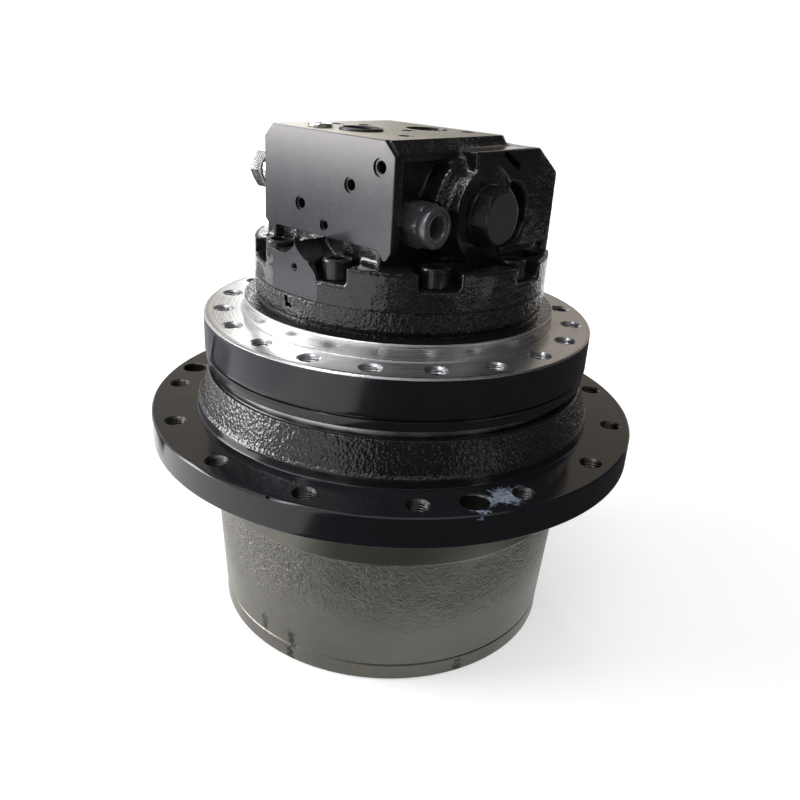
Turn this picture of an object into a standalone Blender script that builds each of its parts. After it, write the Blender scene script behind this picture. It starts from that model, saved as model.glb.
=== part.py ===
# Excavator final drive: a two-speed axial piston motor inside the spindle of a two-stage planetary gearbox.
# The frame flange, the spindle and the port block stand still, and the hub, gear drum and end cover turn.
# Lengths are in millimetres and angles in degrees. The origin is the middle of the end cover's outer face,
# and +Z runs up the shaft to the ports.

import math

import bmesh
import bpy
from mathutils import Matrix, Vector

MM = 0.001
WELD = 0.000001
FIT = 0.3  # gap between faces that touch on the real drive
RUNNING = 0.5  # gap between faces that slide or turn past each other
REACH = 1.0  # how far a cutter goes past the face that it opens

# Facets round a full turn
BODY_SIDES = 28
SHAFT_SIDES = 14
HEAD_SIDES = 8
HOLE_SIDES = 6

# Gears
MODULE = 4.5
PRESSURE_ANGLE = 25.0
DEDENDUM = 1.25  # times the module
TOOTH_PLAY = 0.24
RING_TEETH = 48
INPUT_SUN_TEETH = 12
OUTPUT_SUN_TEETH = 18
PLANETS = 3
INPUT_FACE = 21.0
OUTPUT_FACE = 38.0
INPUT_PIN_RADIUS = 9.0
OUTPUT_PIN_RADIUS = 12.0
PIN_HEAD = 2.0
PIN_HEAD_OVERHANG = 3.0
INPUT_CARRIER_PLATE = 8.0
INPUT_CARRIER_EDGE = 12.5  # from the pins to the plate's edge
OUTPUT_CARRIER_PLATE = 13.5
OUTPUT_CARRIER_EDGE = 23.75
OUTPUT_CARRIER_SPIGOT_RADIUS = 60.0
OUTPUT_CARRIER_SPIGOT = 10.0
OUTPUT_SUN_BOSS_RADIUS = 28.0
OUTPUT_SUN_BORE = 18.0
INPUT_SHAFT_RADIUS = 13.5
FIRST_PLANET_TURN = 90.0
PITCH = MODULE / 2
INPUT_PLANET_TEETH = (RING_TEETH - INPUT_SUN_TEETH) // 2
OUTPUT_PLANET_TEETH = (RING_TEETH - OUTPUT_SUN_TEETH) // 2
INPUT_ORBIT = PITCH * (INPUT_SUN_TEETH + INPUT_PLANET_TEETH)
OUTPUT_ORBIT = PITCH * (OUTPUT_SUN_TEETH + OUTPUT_PLANET_TEETH)
INPUT_CARRIER_RADIUS = INPUT_ORBIT + INPUT_CARRIER_EDGE
OUTPUT_CARRIER_RADIUS = OUTPUT_ORBIT + OUTPUT_CARRIER_EDGE
RING_ROOT_RADIUS = PITCH * RING_TEETH + DEDENDUM * MODULE
RING_TIP_RADIUS = PITCH * RING_TEETH - MODULE

# Gear drum. Its mouth clears the ring gear, and the radii of the drive follow from it outwards and inwards.
EDGE_CHAMFER = 1.3
DRUM_MOUTH_STEP = 5.375
DRUM_MOUTH_RADIUS = RING_ROOT_RADIUS + DRUM_MOUTH_STEP
HUB_SPIGOT_STEP = 3.0
HUB_SPIGOT_RADIUS = DRUM_MOUTH_RADIUS + HUB_SPIGOT_STEP
DRUM_WALL = 31.5
DRUM_BAND_STEP = 3.5
DRUM_TAPER = 5.6
DRUM_BAND_RADIUS = HUB_SPIGOT_RADIUS + DRUM_WALL
DRUM_SHOULDER_RADIUS = DRUM_BAND_RADIUS - DRUM_BAND_STEP
DRUM_FOOT_RADIUS = DRUM_SHOULDER_RADIUS - DRUM_TAPER
DRUM_BAND_HEIGHT = 46.7
DRUM_REGISTER = 0.7  # how far the drum's joint face lies inside the hub's sprocket face

# End cover
COVER_THICKNESS = 14.7
COVER_STEP = 0.4
COVER_RADIUS = DRUM_FOOT_RADIUS - COVER_STEP
COVER_WALL = 9.0
COVER_DISH_RIM = 21.0
COVER_DISH_RADIUS = DRUM_MOUTH_RADIUS - COVER_DISH_RIM
COVER_DISH_DEPTH = 3.0
COVER_SPIGOT_HEIGHT = 4.0
COVER_SPIGOT_WALL = 4.8

# Main bearings, inside the hub's spigot
BEARING_SEAT_WALL = 9.0
BEARING_HEIGHT = 22.7
BEARING_OUTER_RADIUS = HUB_SPIGOT_RADIUS - BEARING_SEAT_WALL - FIT
SPINDLE_RADIUS = BEARING_OUTER_RADIUS - BEARING_HEIGHT
BEARING_WIDTH = 27.0
BEARING_SPACING = 14.4
BEARING_BALL_RADIUS = 8.0
BEARING_BALLS = 12
BEARING_WEB_RADIUS = 3.0
BEARING_SHOULDER = 4.4
BEARING_RIB = 6.0
SPINDLE_SHOULDER = 7.0
NUT_HEIGHT = 11.4
NUT_WALL = 16.0
NUT_SLOTS = 4
NUT_LIFT = 3.8

# Floating seal
SEAL_GAP = 7.0
SEAL_SEAT_STEP = 19.3
SEAL_OUTER_RADIUS = BEARING_OUTER_RADIUS + SEAL_SEAT_STEP
SEAL_RING_WIDTH = 15.0
SEAL_INNER_RADIUS = SEAL_OUTER_RADIUS - SEAL_RING_WIDTH
SEAL_RING_HEIGHT = 10.0
SEAL_CASE_WALL = 17.0
SEAL_WALL_RADIUS = SEAL_OUTER_RADIUS + SEAL_CASE_WALL
SEAL_LABYRINTH_DEPTH = 15.0
SEAL_LABYRINTH_GAP = 2.0

# Hub
HUB_LIP_WALL = 4.0
HUB_CONE_TOP_RADIUS = SEAL_WALL_RADIUS + SEAL_LABYRINTH_GAP + HUB_LIP_WALL
HUB_CONE_FLARE = 6.5
HUB_CONE_FOOT_RADIUS = HUB_CONE_TOP_RADIUS + HUB_CONE_FLARE
HUB_FOOT_STEP = 2.5
HUB_FOOT_RADIUS = HUB_CONE_FOOT_RADIUS + HUB_FOOT_STEP
HUB_FOOT_HEIGHT = 8.0
HUB_RISE = 32.0
SPROCKET_HOLES = 15
SPROCKET_HOLE_GAP = 20.0  # from the hub's foot to the hole circle
SPROCKET_HOLE_EDGE = 16.0  # from the hole circle to the flange's edge
SPROCKET_HOLE_CIRCLE = HUB_FOOT_RADIUS + SPROCKET_HOLE_GAP
SPROCKET_FLANGE_RADIUS = SPROCKET_HOLE_CIRCLE + SPROCKET_HOLE_EDGE
SPROCKET_FLANGE_THICKNESS = 23.7
SPROCKET_HOLE_RADIUS = 8.0
SPROCKET_HOLE_TURN = 7.1
DOWEL_HOLES = 3
DOWEL_HOLE_RADIUS = 9.9
DOWEL_HOLE_TURN = 19.2

# Motor case
FRAME_FLANGE_OVERHANG = 1.5
FRAME_FLANGE_RADIUS = HUB_CONE_TOP_RADIUS + FRAME_FLANGE_OVERHANG
FRAME_FLANGE_THICKNESS = 29.5
FRAME_LIP_HEIGHT = 9.5
FRAME_LIP_STEP = 1.0
FRAME_LIP_RADIUS = FRAME_FLANGE_RADIUS - FRAME_LIP_STEP
FRAME_GROOVE_HEIGHT = 2.0
FRAME_GROOVE_DEPTH = 3.0
FRAME_GROOVE_RADIUS = FRAME_FLANGE_RADIUS - FRAME_GROOVE_DEPTH
FRAME_HOLES = 20
FRAME_HOLE_EDGE = 15.5  # from the hole circle to the flange's edge
FRAME_HOLE_CIRCLE = FRAME_FLANGE_RADIUS - FRAME_HOLE_EDGE
FRAME_HOLE_RADIUS = 8.0
FRAME_HOLE_TURN = -6.0
FRAME_HOLE_DEPTH = 24.0
PILOT_STEP = 16.0  # from the hole circle to the pilot
PILOT_RADIUS = FRAME_HOLE_CIRCLE - PILOT_STEP
PILOT_HEIGHT = 12.0
NECK_STEP = 9.0
NECK_RADIUS = PILOT_RADIUS - NECK_STEP
NECK_HEIGHT = 19.0
NECK_UNDERCUT = 3.0
NECK_GROOVE_DEPTH = 4.0
NECK_GROOVE_RADIUS = NECK_RADIUS - NECK_GROOVE_DEPTH
SPINDLE_THREAD_STEP = 6.0
SPINDLE_THREAD_RADIUS = SPINDLE_RADIUS - SPINDLE_THREAD_STEP
SPINDLE_WALL = 18.0
MOTOR_CAVITY_RADIUS = SPINDLE_RADIUS - SPINDLE_WALL

# Port block screws
BLOCK_SCREWS = 9
BLOCK_SCREW_EDGE = 16.0  # from the screws to the edge of the neck
BLOCK_SCREW_CIRCLE = NECK_RADIUS - BLOCK_SCREW_EDGE
BLOCK_SCREW_TURN = 14.5
BLOCK_SCREW_RADIUS = 7.0
BLOCK_SCREW_HEAD_RADIUS = 10.5
BLOCK_SCREW_HEAD_HEIGHT = 14.0
BLOCK_SCREW_GRIP = 28.0
POCKET_RADIUS = 15.0
POCKET_FLOOR = 15.2

# Motor
SHAFT_RADIUS = 18.0
SHAFT_FRONT_RADIUS = 20.0
SHAFT_COLLAR_RADIUS = 25.0
SHAFT_TAIL_RADIUS = 12.0
SHAFT_SOCKET_DEPTH = 10.0
FRONT_BEARING_RADIUS = 36.0
FRONT_BEARING_WIDTH = 17.5
REAR_BEARING_RADIUS = 26.0
REAR_BEARING_WIDTH = 14.0
SHAFT_SEAL_WALL = 16.0
BARREL_ROOM = 16.0  # between the barrel and the motor case
BARREL_RADIUS = MOTOR_CAVITY_RADIUS - BARREL_ROOM
PISTONS = 9
PISTON_EDGE = 16.0  # from the pistons to the outside of the barrel
PISTON_CIRCLE = BARREL_RADIUS - PISTON_EDGE
PISTON_RADIUS = 8.5
PISTON_REACH = 14.5
SLIPPER_RADIUS = 10.5
SLIPPER_HEIGHT = 3.5
SWASH_ROOM = 14.0
SWASH_FLOOR_ROOM = 10.1  # from the floor of the cavity to the tilted plate
SWASH_RADIUS = MOTOR_CAVITY_RADIUS - SWASH_ROOM
SWASH_THICKNESS = 14.0
SWASH_HOLE = 27.0
SWASH_ANGLE = 12.0
SWASH_TRUNNION_RADIUS = 7.7
SWASH_TRUNNION_SEAT = 7.0  # how far the trunnions reach into the motor case
SWASH_TRUNNION_REACH = MOTOR_CAVITY_RADIUS + SWASH_TRUNNION_SEAT
VALVE_PLATE_STEP = 2.0
VALVE_PLATE_RADIUS = BARREL_RADIUS - VALVE_PLATE_STEP
VALVE_PLATE_THICKNESS = 8.0
KIDNEY_RADIUS = PISTON_CIRCLE
KIDNEY_HALF_WIDTH = 5.0
KIDNEY_HALF_SPAN = 62.0
BRAKE_SCREW_WALL = 14.0  # from the port block screws to the brake cavity
BRAKE_CAVITY_RADIUS = BLOCK_SCREW_CIRCLE - BRAKE_SCREW_WALL
BRAKE_PLATE_THICKNESS = 4.0
BRAKE_DISC_THICKNESS = 3.5
BRAKE_DISC_ROOM = 4.0
BRAKE_DISC_RADIUS = BRAKE_CAVITY_RADIUS - BRAKE_DISC_ROOM
BRAKE_BARREL_ROOM = 6.0
BRAKE_INNER_RADIUS = BARREL_RADIUS + BRAKE_BARREL_ROOM
BRAKE_LEDGE = 48.0
BRAKE_PISTON_HEIGHT = 34.0

# Port block, in its own axes: X to the plug side, -Y to the machined end face
BLOCK_TURN = -40.5
BLOCK_FOOT_HEIGHT = 27.2
BLOCK_UNDERSIDE = 38.0
BLOCK_HEIGHT = 110.2
BLOCK_SIDE_STEP = 51.0  # from the edge of the foot to the slab's side
BLOCK_END_STEP = 30.0  # from the edge of the foot to the end faces
BLOCK_HALF_WIDTH = NECK_RADIUS - BLOCK_SIDE_STEP
BLOCK_HALF_LENGTH = NECK_RADIUS - BLOCK_END_STEP
BLOCK_WAIST_STEP = 11.0
BLOCK_WAIST_HALF_WIDTH = BLOCK_HALF_WIDTH - BLOCK_WAIST_STEP
BLOCK_END_PLATE = 9.0
BLOCK_SLAB_HEIGHT = 11.0
BLOCK_SLAB_SHORTFALL = 44.0  # how far the slab's high part stops short of the back
BLOCK_SLAB_LENGTH = 2 * BLOCK_HALF_LENGTH - BLOCK_SLAB_SHORTFALL
BLOCK_REAR_DROP = 6.5
BLOCK_CHAMFER = 9.5
BLOCK_CORNER_DROP = 6.5
BLOCK_CORNER_HALF_WIDTH = 7.0
BLOCK_FOOT_CHAMFER = 3.5
BLOCK_SKIRT_LENGTH = 26.0  # casting under the left end of the end plate
VALVE_BOSS_RADIUS = 32.0
VALVE_BOSS_STEP = 18.0
VALVE_BOSS_REACH = BLOCK_HALF_WIDTH + VALVE_BOSS_STEP
VALVE_AXIS_Y = -6.5
VALVE_AXIS_RISE = 59.3
VALVE_BORE = 16.0
VALVE_PLUG_DEPTH = 23.0
VALVE_SPOOL_ROOM = 33.0  # from each end of the spool to the boss face
VALVE_SPOOL_HALF_LENGTH = VALVE_BOSS_REACH - VALVE_SPOOL_ROOM
VALVE_SPOOL_NECK = 10.5
LUMP_START = -20.0
LUMP_TOP_CORNER = 28.0
LUMP_END_CHAMFER = 19.0
LUMP_BOTTOM = 22.0
LUMP_STEP = 0.6
LUMP_REACH = VALVE_BOSS_REACH - LUMP_STEP
LUMP_TOP_DROP = 7.0
LUMP_POCKET_RADIUS = 23.5
LUMP_POCKET_Y = 23.5
LUMP_POCKET_DROP = 3.0  # below the valve's axis
LUMP_POCKET_DEPTH = 11.0
PAD_HALF_WIDTH = 22.5
PAD_SHOULDER = 16.0
PAD_FLAT = 2.4  # how deep the pad is milled into the round foot
PAD_DISTANCE = NECK_RADIUS - PAD_FLAT
PAD_SINK = 2.4
PAD_DEPTH = PAD_DISTANCE - BLOCK_HALF_LENGTH + PAD_SINK
PAD_SKIN = 4.6
PAD_HOLE_RADIUS = 2.6
PAD_HOLE_RISE = 20.0

# Drum screws
DRUM_SCREWS = 6
DRUM_SCREW_STEP = 12.2  # from the drum's mouth to the screws
DRUM_SCREW_CIRCLE = DRUM_MOUTH_RADIUS + DRUM_SCREW_STEP
DRUM_SCREW_RADIUS = 5.0
DRUM_SCREW_HEAD_RADIUS = 8.0
DRUM_SCREW_HEAD_HEIGHT = 10.0
DRUM_SCREW_RECESS = 1.0
DRUM_SCREW_GRIP = 17.0

# Plugs and fittings
SOCKET_SHARE = 0.57  # hexagon socket across corners over screw head diameter
VALVE_PLUG_ACROSS_FLATS = 38.0
VALVE_PLUG_HEAD = 15.0
RELIEF_AXIS_Y = -61.0
RELIEF_AXIS_DROP = 37.2  # below the top of the block
RELIEF_AXIS_RISE = BLOCK_HEIGHT - RELIEF_AXIS_DROP
RELIEF_RADIUS = 13.0
RELIEF_COLLAR = 30.0
RELIEF_HEAD = 24.0
RELIEF_ACROSS_FLATS = 27.0
RELIEF_SHANK_RADIUS = 10.0
RELIEF_SHANK = 18.0
DRAIN_AXIS_Y = -54.5
DRAIN_AXIS_RISE = 54.3
DRAIN_ACROSS_FLATS = 28.0
DRAIN_HEX = 15.0
DRAIN_COLLAR_RADIUS = 15.0
DRAIN_COLLAR = 8.5
DRAIN_BORE = 7.8
DRAIN_SHANK_RADIUS = 11.0
DRAIN_SHANK = 14.0
TOP_PLUG_X = -27.0
TOP_PLUG_Y = -66.0
TOP_PLUG_RADIUS = 9.0
TOP_PLUG_HEAD = 3.2
TOP_PLUG_SHANK_RADIUS = 6.5
TOP_PLUG_SHANK = 12.0
MAIN_PORT_RADIUS = 16.0
MAIN_PORT_DEPTH = 26.0
MAIN_PORTS = ((0.0, -51.5), (6.0, 14.0))
SMALL_PORT_RADIUS = 5.0
SMALL_PORT_DEPTH = 16.0
SMALL_PORTS = ((12.0, -14.0), (40.5, -49.0), (-42.0, -34.0), (-30.0, -16.0), (34.0, 30.0))
GAUGE_PORT_DEPTH = 12.0
GAUGE_PORTS = ((52.1, 92.7, 6.2), (24.8, 77.7, 5.5), (-25.3, 57.9, 5.3), (-0.1, 46.1, 4.2))
COVER_PLUG_RADIUS = 12.0
COVER_PLUG_STEP = 22.0
COVER_PLUG_CIRCLE = COVER_DISH_RADIUS - COVER_PLUG_STEP
COVER_PLUG_RECESS = 0.5

# Levels of the gear train
Z_DRUM = COVER_THICKNESS + FIT
Z_RING = Z_DRUM + COVER_SPIGOT_HEIGHT
Z_INPUT_PIN = Z_RING
Z_INPUT_GEARS = Z_INPUT_PIN + PIN_HEAD + FIT
Z_INPUT_CARRIER = Z_INPUT_GEARS + INPUT_FACE + FIT
Z_OUTPUT_PIN = Z_INPUT_CARRIER + INPUT_CARRIER_PLATE + 2 * RUNNING
Z_OUTPUT_GEARS = Z_OUTPUT_PIN + PIN_HEAD + FIT
Z_OUTPUT_CARRIER = Z_OUTPUT_GEARS + OUTPUT_FACE + FIT
Z_SPINDLE = Z_OUTPUT_CARRIER + OUTPUT_CARRIER_PLATE + FIT
Z_CARRIER_SPIGOT = Z_OUTPUT_CARRIER + OUTPUT_CARRIER_PLATE + OUTPUT_CARRIER_SPIGOT
Z_RING_END = Z_OUTPUT_CARRIER - FIT

# Levels of the main bearings and the seal, up from the end of the spindle
Z_NUT = Z_SPINDLE + NUT_LIFT
Z_LOWER_BEARING = Z_NUT + NUT_HEIGHT + FIT
Z_UPPER_BEARING = Z_LOWER_BEARING + BEARING_WIDTH + FIT + BEARING_SPACING
Z_SEAL_SEAT = Z_UPPER_BEARING + BEARING_WIDTH + FIT + RUNNING
Z_SEAL_MEET = Z_SEAL_SEAT + SEAL_RING_HEIGHT + FIT
Z_SEAL_FLOOR = Z_SEAL_MEET - FIT
Z_CASE_SEAL_SEAT = Z_SEAL_MEET + SEAL_RING_HEIGHT + 2 * FIT

# Levels of the hub, the frame flange and the port block
Z_HUB_TOP = Z_SEAL_FLOOR + SEAL_LABYRINTH_DEPTH
Z_SPROCKET_FACE = Z_HUB_TOP - HUB_RISE
Z_HUB = Z_SPROCKET_FACE - SPROCKET_FLANGE_THICKNESS
Z_HUB_JOINT = Z_HUB + DRUM_REGISTER
Z_DRUM_TOP = Z_HUB_JOINT - FIT
Z_CASE_LIP = Z_HUB_TOP + SEAL_GAP
Z_FRAME_FLANGE = Z_CASE_LIP + FRAME_LIP_HEIGHT
Z_FRAME_FACE = Z_FRAME_FLANGE + FRAME_FLANGE_THICKNESS
Z_PILOT_TOP = Z_FRAME_FACE + PILOT_HEIGHT
Z_CASE_TOP = Z_PILOT_TOP + NECK_HEIGHT
Z_BLOCK = Z_CASE_TOP + FIT
Z_BLOCK_TOP = Z_BLOCK + BLOCK_HEIGHT
Z_POCKET = Z_BLOCK + POCKET_FLOOR

# Levels of the motor
Z_FRONT_BEARING = Z_CARRIER_SPIGOT + FIT + SHAFT_SEAL_WALL
Z_CAVITY = Z_FRONT_BEARING + FRONT_BEARING_WIDTH + FIT
Z_BARREL_TOP = Z_CASE_TOP - VALVE_PLATE_THICKNESS - FIT
SWASH_RISE = math.sin(math.radians(SWASH_ANGLE)) * (PISTON_CIRCLE + SLIPPER_RADIUS)
SWASH_FACE = SWASH_THICKNESS / 2 / math.cos(math.radians(SWASH_ANGLE))
Z_SWASH = Z_CAVITY + SWASH_FLOOR_ROOM + SWASH_RISE + SWASH_FACE
Z_SLIPPER = Z_SWASH + SWASH_FACE + SWASH_RISE + RUNNING
Z_BARREL = Z_SLIPPER + SLIPPER_HEIGHT + PISTON_REACH
Z_BRAKE = Z_CASE_TOP - BRAKE_LEDGE
Z_BRAKE_DISC = Z_BRAKE + FIT + BRAKE_PLATE_THICKNESS + RUNNING
Z_BRAKE_PISTON = Z_BRAKE_DISC + BRAKE_DISC_THICKNESS + RUNNING

# Colour, roughness and metallic value of each finish
FINISHES = {
    "gloss_black_paint": ((0.012, 0.013, 0.016), 0.22, 0.0),
    "bare_casting": ((0.26, 0.25, 0.21), 0.42, 0.55),
    "machined_steel": ((0.62, 0.62, 0.63), 0.25, 1.0),
    "black_oxide": ((0.03, 0.03, 0.032), 0.38, 0.7),
    "dark_plating": ((0.12, 0.125, 0.135), 0.28, 0.9),
    "zinc_plating": ((0.75, 0.76, 0.78), 0.2, 1.0),
    "gear_steel": ((0.42, 0.42, 0.44), 0.32, 1.0),
    "bronze": ((0.52, 0.36, 0.16), 0.35, 0.9),
    "friction_lining": ((0.14, 0.1, 0.07), 0.8, 0.0),
}


# Shapes


def finish_mesh(shape):
    bmesh.ops.remove_doubles(shape, verts=shape.verts[:], dist=WELD)
    bmesh.ops.recalc_face_normals(shape, faces=shape.faces[:])
    return shape


# A turned shape: points (radius, height) in order round the section. A section that reaches the axis
# starts and ends on it.
def turned(section, sides=BODY_SIDES):
    shape = bmesh.new()
    points = [shape.verts.new((radius * MM, 0, height * MM)) for radius, height in section]
    edges = [shape.edges.new(pair) for pair in zip(points, points[1:])]
    if section[0][0] > 0:
        edges.append(shape.edges.new((points[-1], points[0])))
    bmesh.ops.spin(
        shape, geom=points + edges, axis=(0, 0, 1), cent=(0, 0, 0), angle=math.tau, steps=sides, use_merge=True
    )
    finish_mesh(shape)
    # The flat faces on the axis become one face each
    poles = [corner for corner in shape.verts if corner.co.xy.length < WELD]
    bmesh.ops.dissolve_verts(shape, verts=poles)
    return shape


# Corner radius of a faceted bore whose flats clear a round shaft that turns in it
def clear_bore(shaft_radius, sides):
    return (shaft_radius + RUNNING) / math.cos(math.pi / sides)


def cylinder(radius, low, high, sides=SHAFT_SIDES):
    return turned([(0, low), (radius, low), (radius, high), (0, high)], sides)


def ring(inner, outer, low, high, sides=BODY_SIDES):
    return turned([(inner, low), (outer, low), (outer, high), (inner, high)], sides)


# An outline of (x, y) points, raised from one height to another
def prism(outline, low, high):
    shape = bmesh.new()
    foot = shape.faces.new([shape.verts.new((x * MM, y * MM, low * MM)) for x, y in outline])
    raised = bmesh.ops.extrude_face_region(shape, geom=[foot])["geom"]
    corners = [item for item in raised if isinstance(item, bmesh.types.BMVert)]
    bmesh.ops.translate(shape, vec=(0, 0, (high - low) * MM), verts=corners)
    return finish_mesh(shape)


def polar(radius, degrees):
    angle = math.radians(degrees)
    return radius * math.cos(angle), radius * math.sin(angle)


def polygon(radius, sides, turn=0.0):
    return [polar(radius, turn + 360 * side / sides) for side in range(sides)]


def hexagon(across_flats, turn=0.0):
    return polygon(across_flats / math.sqrt(3), 6, turn)


def moved(shape, x=0.0, y=0.0, z=0.0):
    bmesh.ops.translate(shape, vec=(x * MM, y * MM, z * MM), verts=shape.verts[:])
    return shape


# Turns a shape so that its axis, made along +Z, runs along another axis
def laid(shape, axis):
    turn = Vector((0, 0, 1)).rotation_difference(Vector(axis)).to_matrix()
    bmesh.ops.rotate(shape, cent=(0, 0, 0), matrix=turn, verts=shape.verts[:])
    return shape


# Several separate shapes as one mesh
def together(shapes):
    whole = bmesh.new()
    for shape in shapes:
        piece = bpy.data.meshes.new("piece")
        shape.to_mesh(piece)
        shape.free()
        whole.from_mesh(piece)
        bpy.data.meshes.remove(piece)
    return whole


# Turns a shape drawn pointing along +X to face outwards at a place on a circle. Places are counted in degrees
# from the front (-Y) towards +X.
def placed(shape, radius, place):
    outwards = Matrix.Rotation(math.radians(place - 90), 3, "Z")
    bmesh.ops.rotate(shape, cent=(0, 0, 0), matrix=outwards, verts=shape.verts[:])
    return moved(shape, *polar(radius, place - 90))


def spread(make_shape, count, radius, turn):
    return together([placed(make_shape(), radius, turn + 360 * number / count) for number in range(count)])


# Objects


def painted(piece, finish):
    colour, roughness, metallic = FINISHES[finish]
    paint = bpy.data.materials.new(f"{piece.name}_{finish}")
    paint.use_nodes = True
    shader = paint.node_tree.nodes["Principled BSDF"]
    shader.inputs["Base Color"].default_value = (*colour, 1)
    shader.inputs["Roughness"].default_value = roughness
    shader.inputs["Metallic"].default_value = metallic
    piece.data.materials.append(paint)


def add(name, shape, finish, holder, at=(0, 0, 0)):
    mesh = bpy.data.meshes.new(name)
    shape.to_mesh(mesh)
    shape.free()
    mesh.shade_smooth()
    mesh.set_sharp_from_angle(angle=math.radians(30))
    piece = bpy.data.objects.new(name, mesh)
    bpy.context.collection.objects.link(piece)
    piece.parent = holder
    piece.location = Vector(at) * MM
    painted(piece, finish)
    return piece


def holder(name, above=None, at=(0, 0, 0), turn=0.0):
    empty = bpy.data.objects.new(name, None)
    bpy.context.collection.objects.link(empty)
    empty.parent = above
    empty.location = Vector(at) * MM
    empty.rotation_euler = (0, 0, math.radians(turn))
    return empty


# Cuts a shape from a piece, or adds it, with a Boolean whose helper object is never rendered
def shaped(piece, shape, operation="DIFFERENCE"):
    mesh = bpy.data.meshes.new(f"{piece.name}_tool")
    shape.to_mesh(mesh)
    shape.free()
    tool = bpy.data.objects.new(mesh.name, mesh)
    bpy.context.collection.objects.link(tool)
    tool.parent = piece
    tool.hide_render = True
    tool.display_type = "WIRE"
    modifier = piece.modifiers.new(f"{operation.lower()}_{len(piece.modifiers)}", "BOOLEAN")
    modifier.operation = operation
    modifier.solver = "EXACT"
    modifier.object = tool


# Gears


def involute(angle):
    return math.tan(angle) - angle


# Outline of a toothed wheel, in degrees and millimetres. Each flank is an involute, given at its root,
# pitch circle and tip. Play below zero widens the teeth, which makes the cutter of an internal gear.
def toothed(teeth, root, tip, play, turn):
    pitch_radius = PITCH * teeth
    pressure = math.radians(PRESSURE_ANGLE)
    base_radius = pitch_radius * math.cos(pressure)
    flank = []
    for radius in (root, pitch_radius, tip):
        rolled = math.acos(base_radius / max(radius, base_radius))
        half = math.pi / (2 * teeth) + involute(pressure) - involute(rolled) - play / (2 * pitch_radius)
        flank.append((radius, math.degrees(half)))
    outline = []
    for tooth in range(teeth):
        middle = turn + 360 * tooth / teeth
        outline += [polar(radius, middle - half) for radius, half in flank]
        outline += [polar(radius, middle + half) for radius, half in reversed(flank)]
    return outline


def wheel(teeth, turn, low, high):
    pitch_radius = PITCH * teeth
    outline = toothed(teeth, pitch_radius - DEDENDUM * MODULE, pitch_radius + MODULE, TOOTH_PLAY, turn)
    return prism(outline, low, high)


# A planet's own turn that meshes it with the drum, where a tooth space lies on the +X axis
def planet_turn(teeth, place):
    return place * (1 - RING_TEETH / teeth)


# The sun's turn that meshes it with a planet
def sun_turn(teeth, planet_teeth, place):
    offset = (planet_turn(planet_teeth, place) - place - 180) * planet_teeth / teeth
    return place - offset - 180 / teeth


def planet_places():
    return [FIRST_PLANET_TURN + 360 * planet / PLANETS for planet in range(PLANETS)]


# Fasteners


# A socket head screw, head up, with the underside of its head at height 0
def screw(radius, grip, head_radius, head_height):
    blank = turned(
        [
            (0, -grip),
            (radius, -grip),
            (radius, 0),
            (head_radius, 0),
            (head_radius, head_height),
            (0, head_height),
        ],
        HEAD_SIDES,
    )
    socket = polygon(head_radius * SOCKET_SHARE, 6)
    return blank, prism(socket, head_height / 2, head_height + REACH)


# The fixed side


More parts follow.
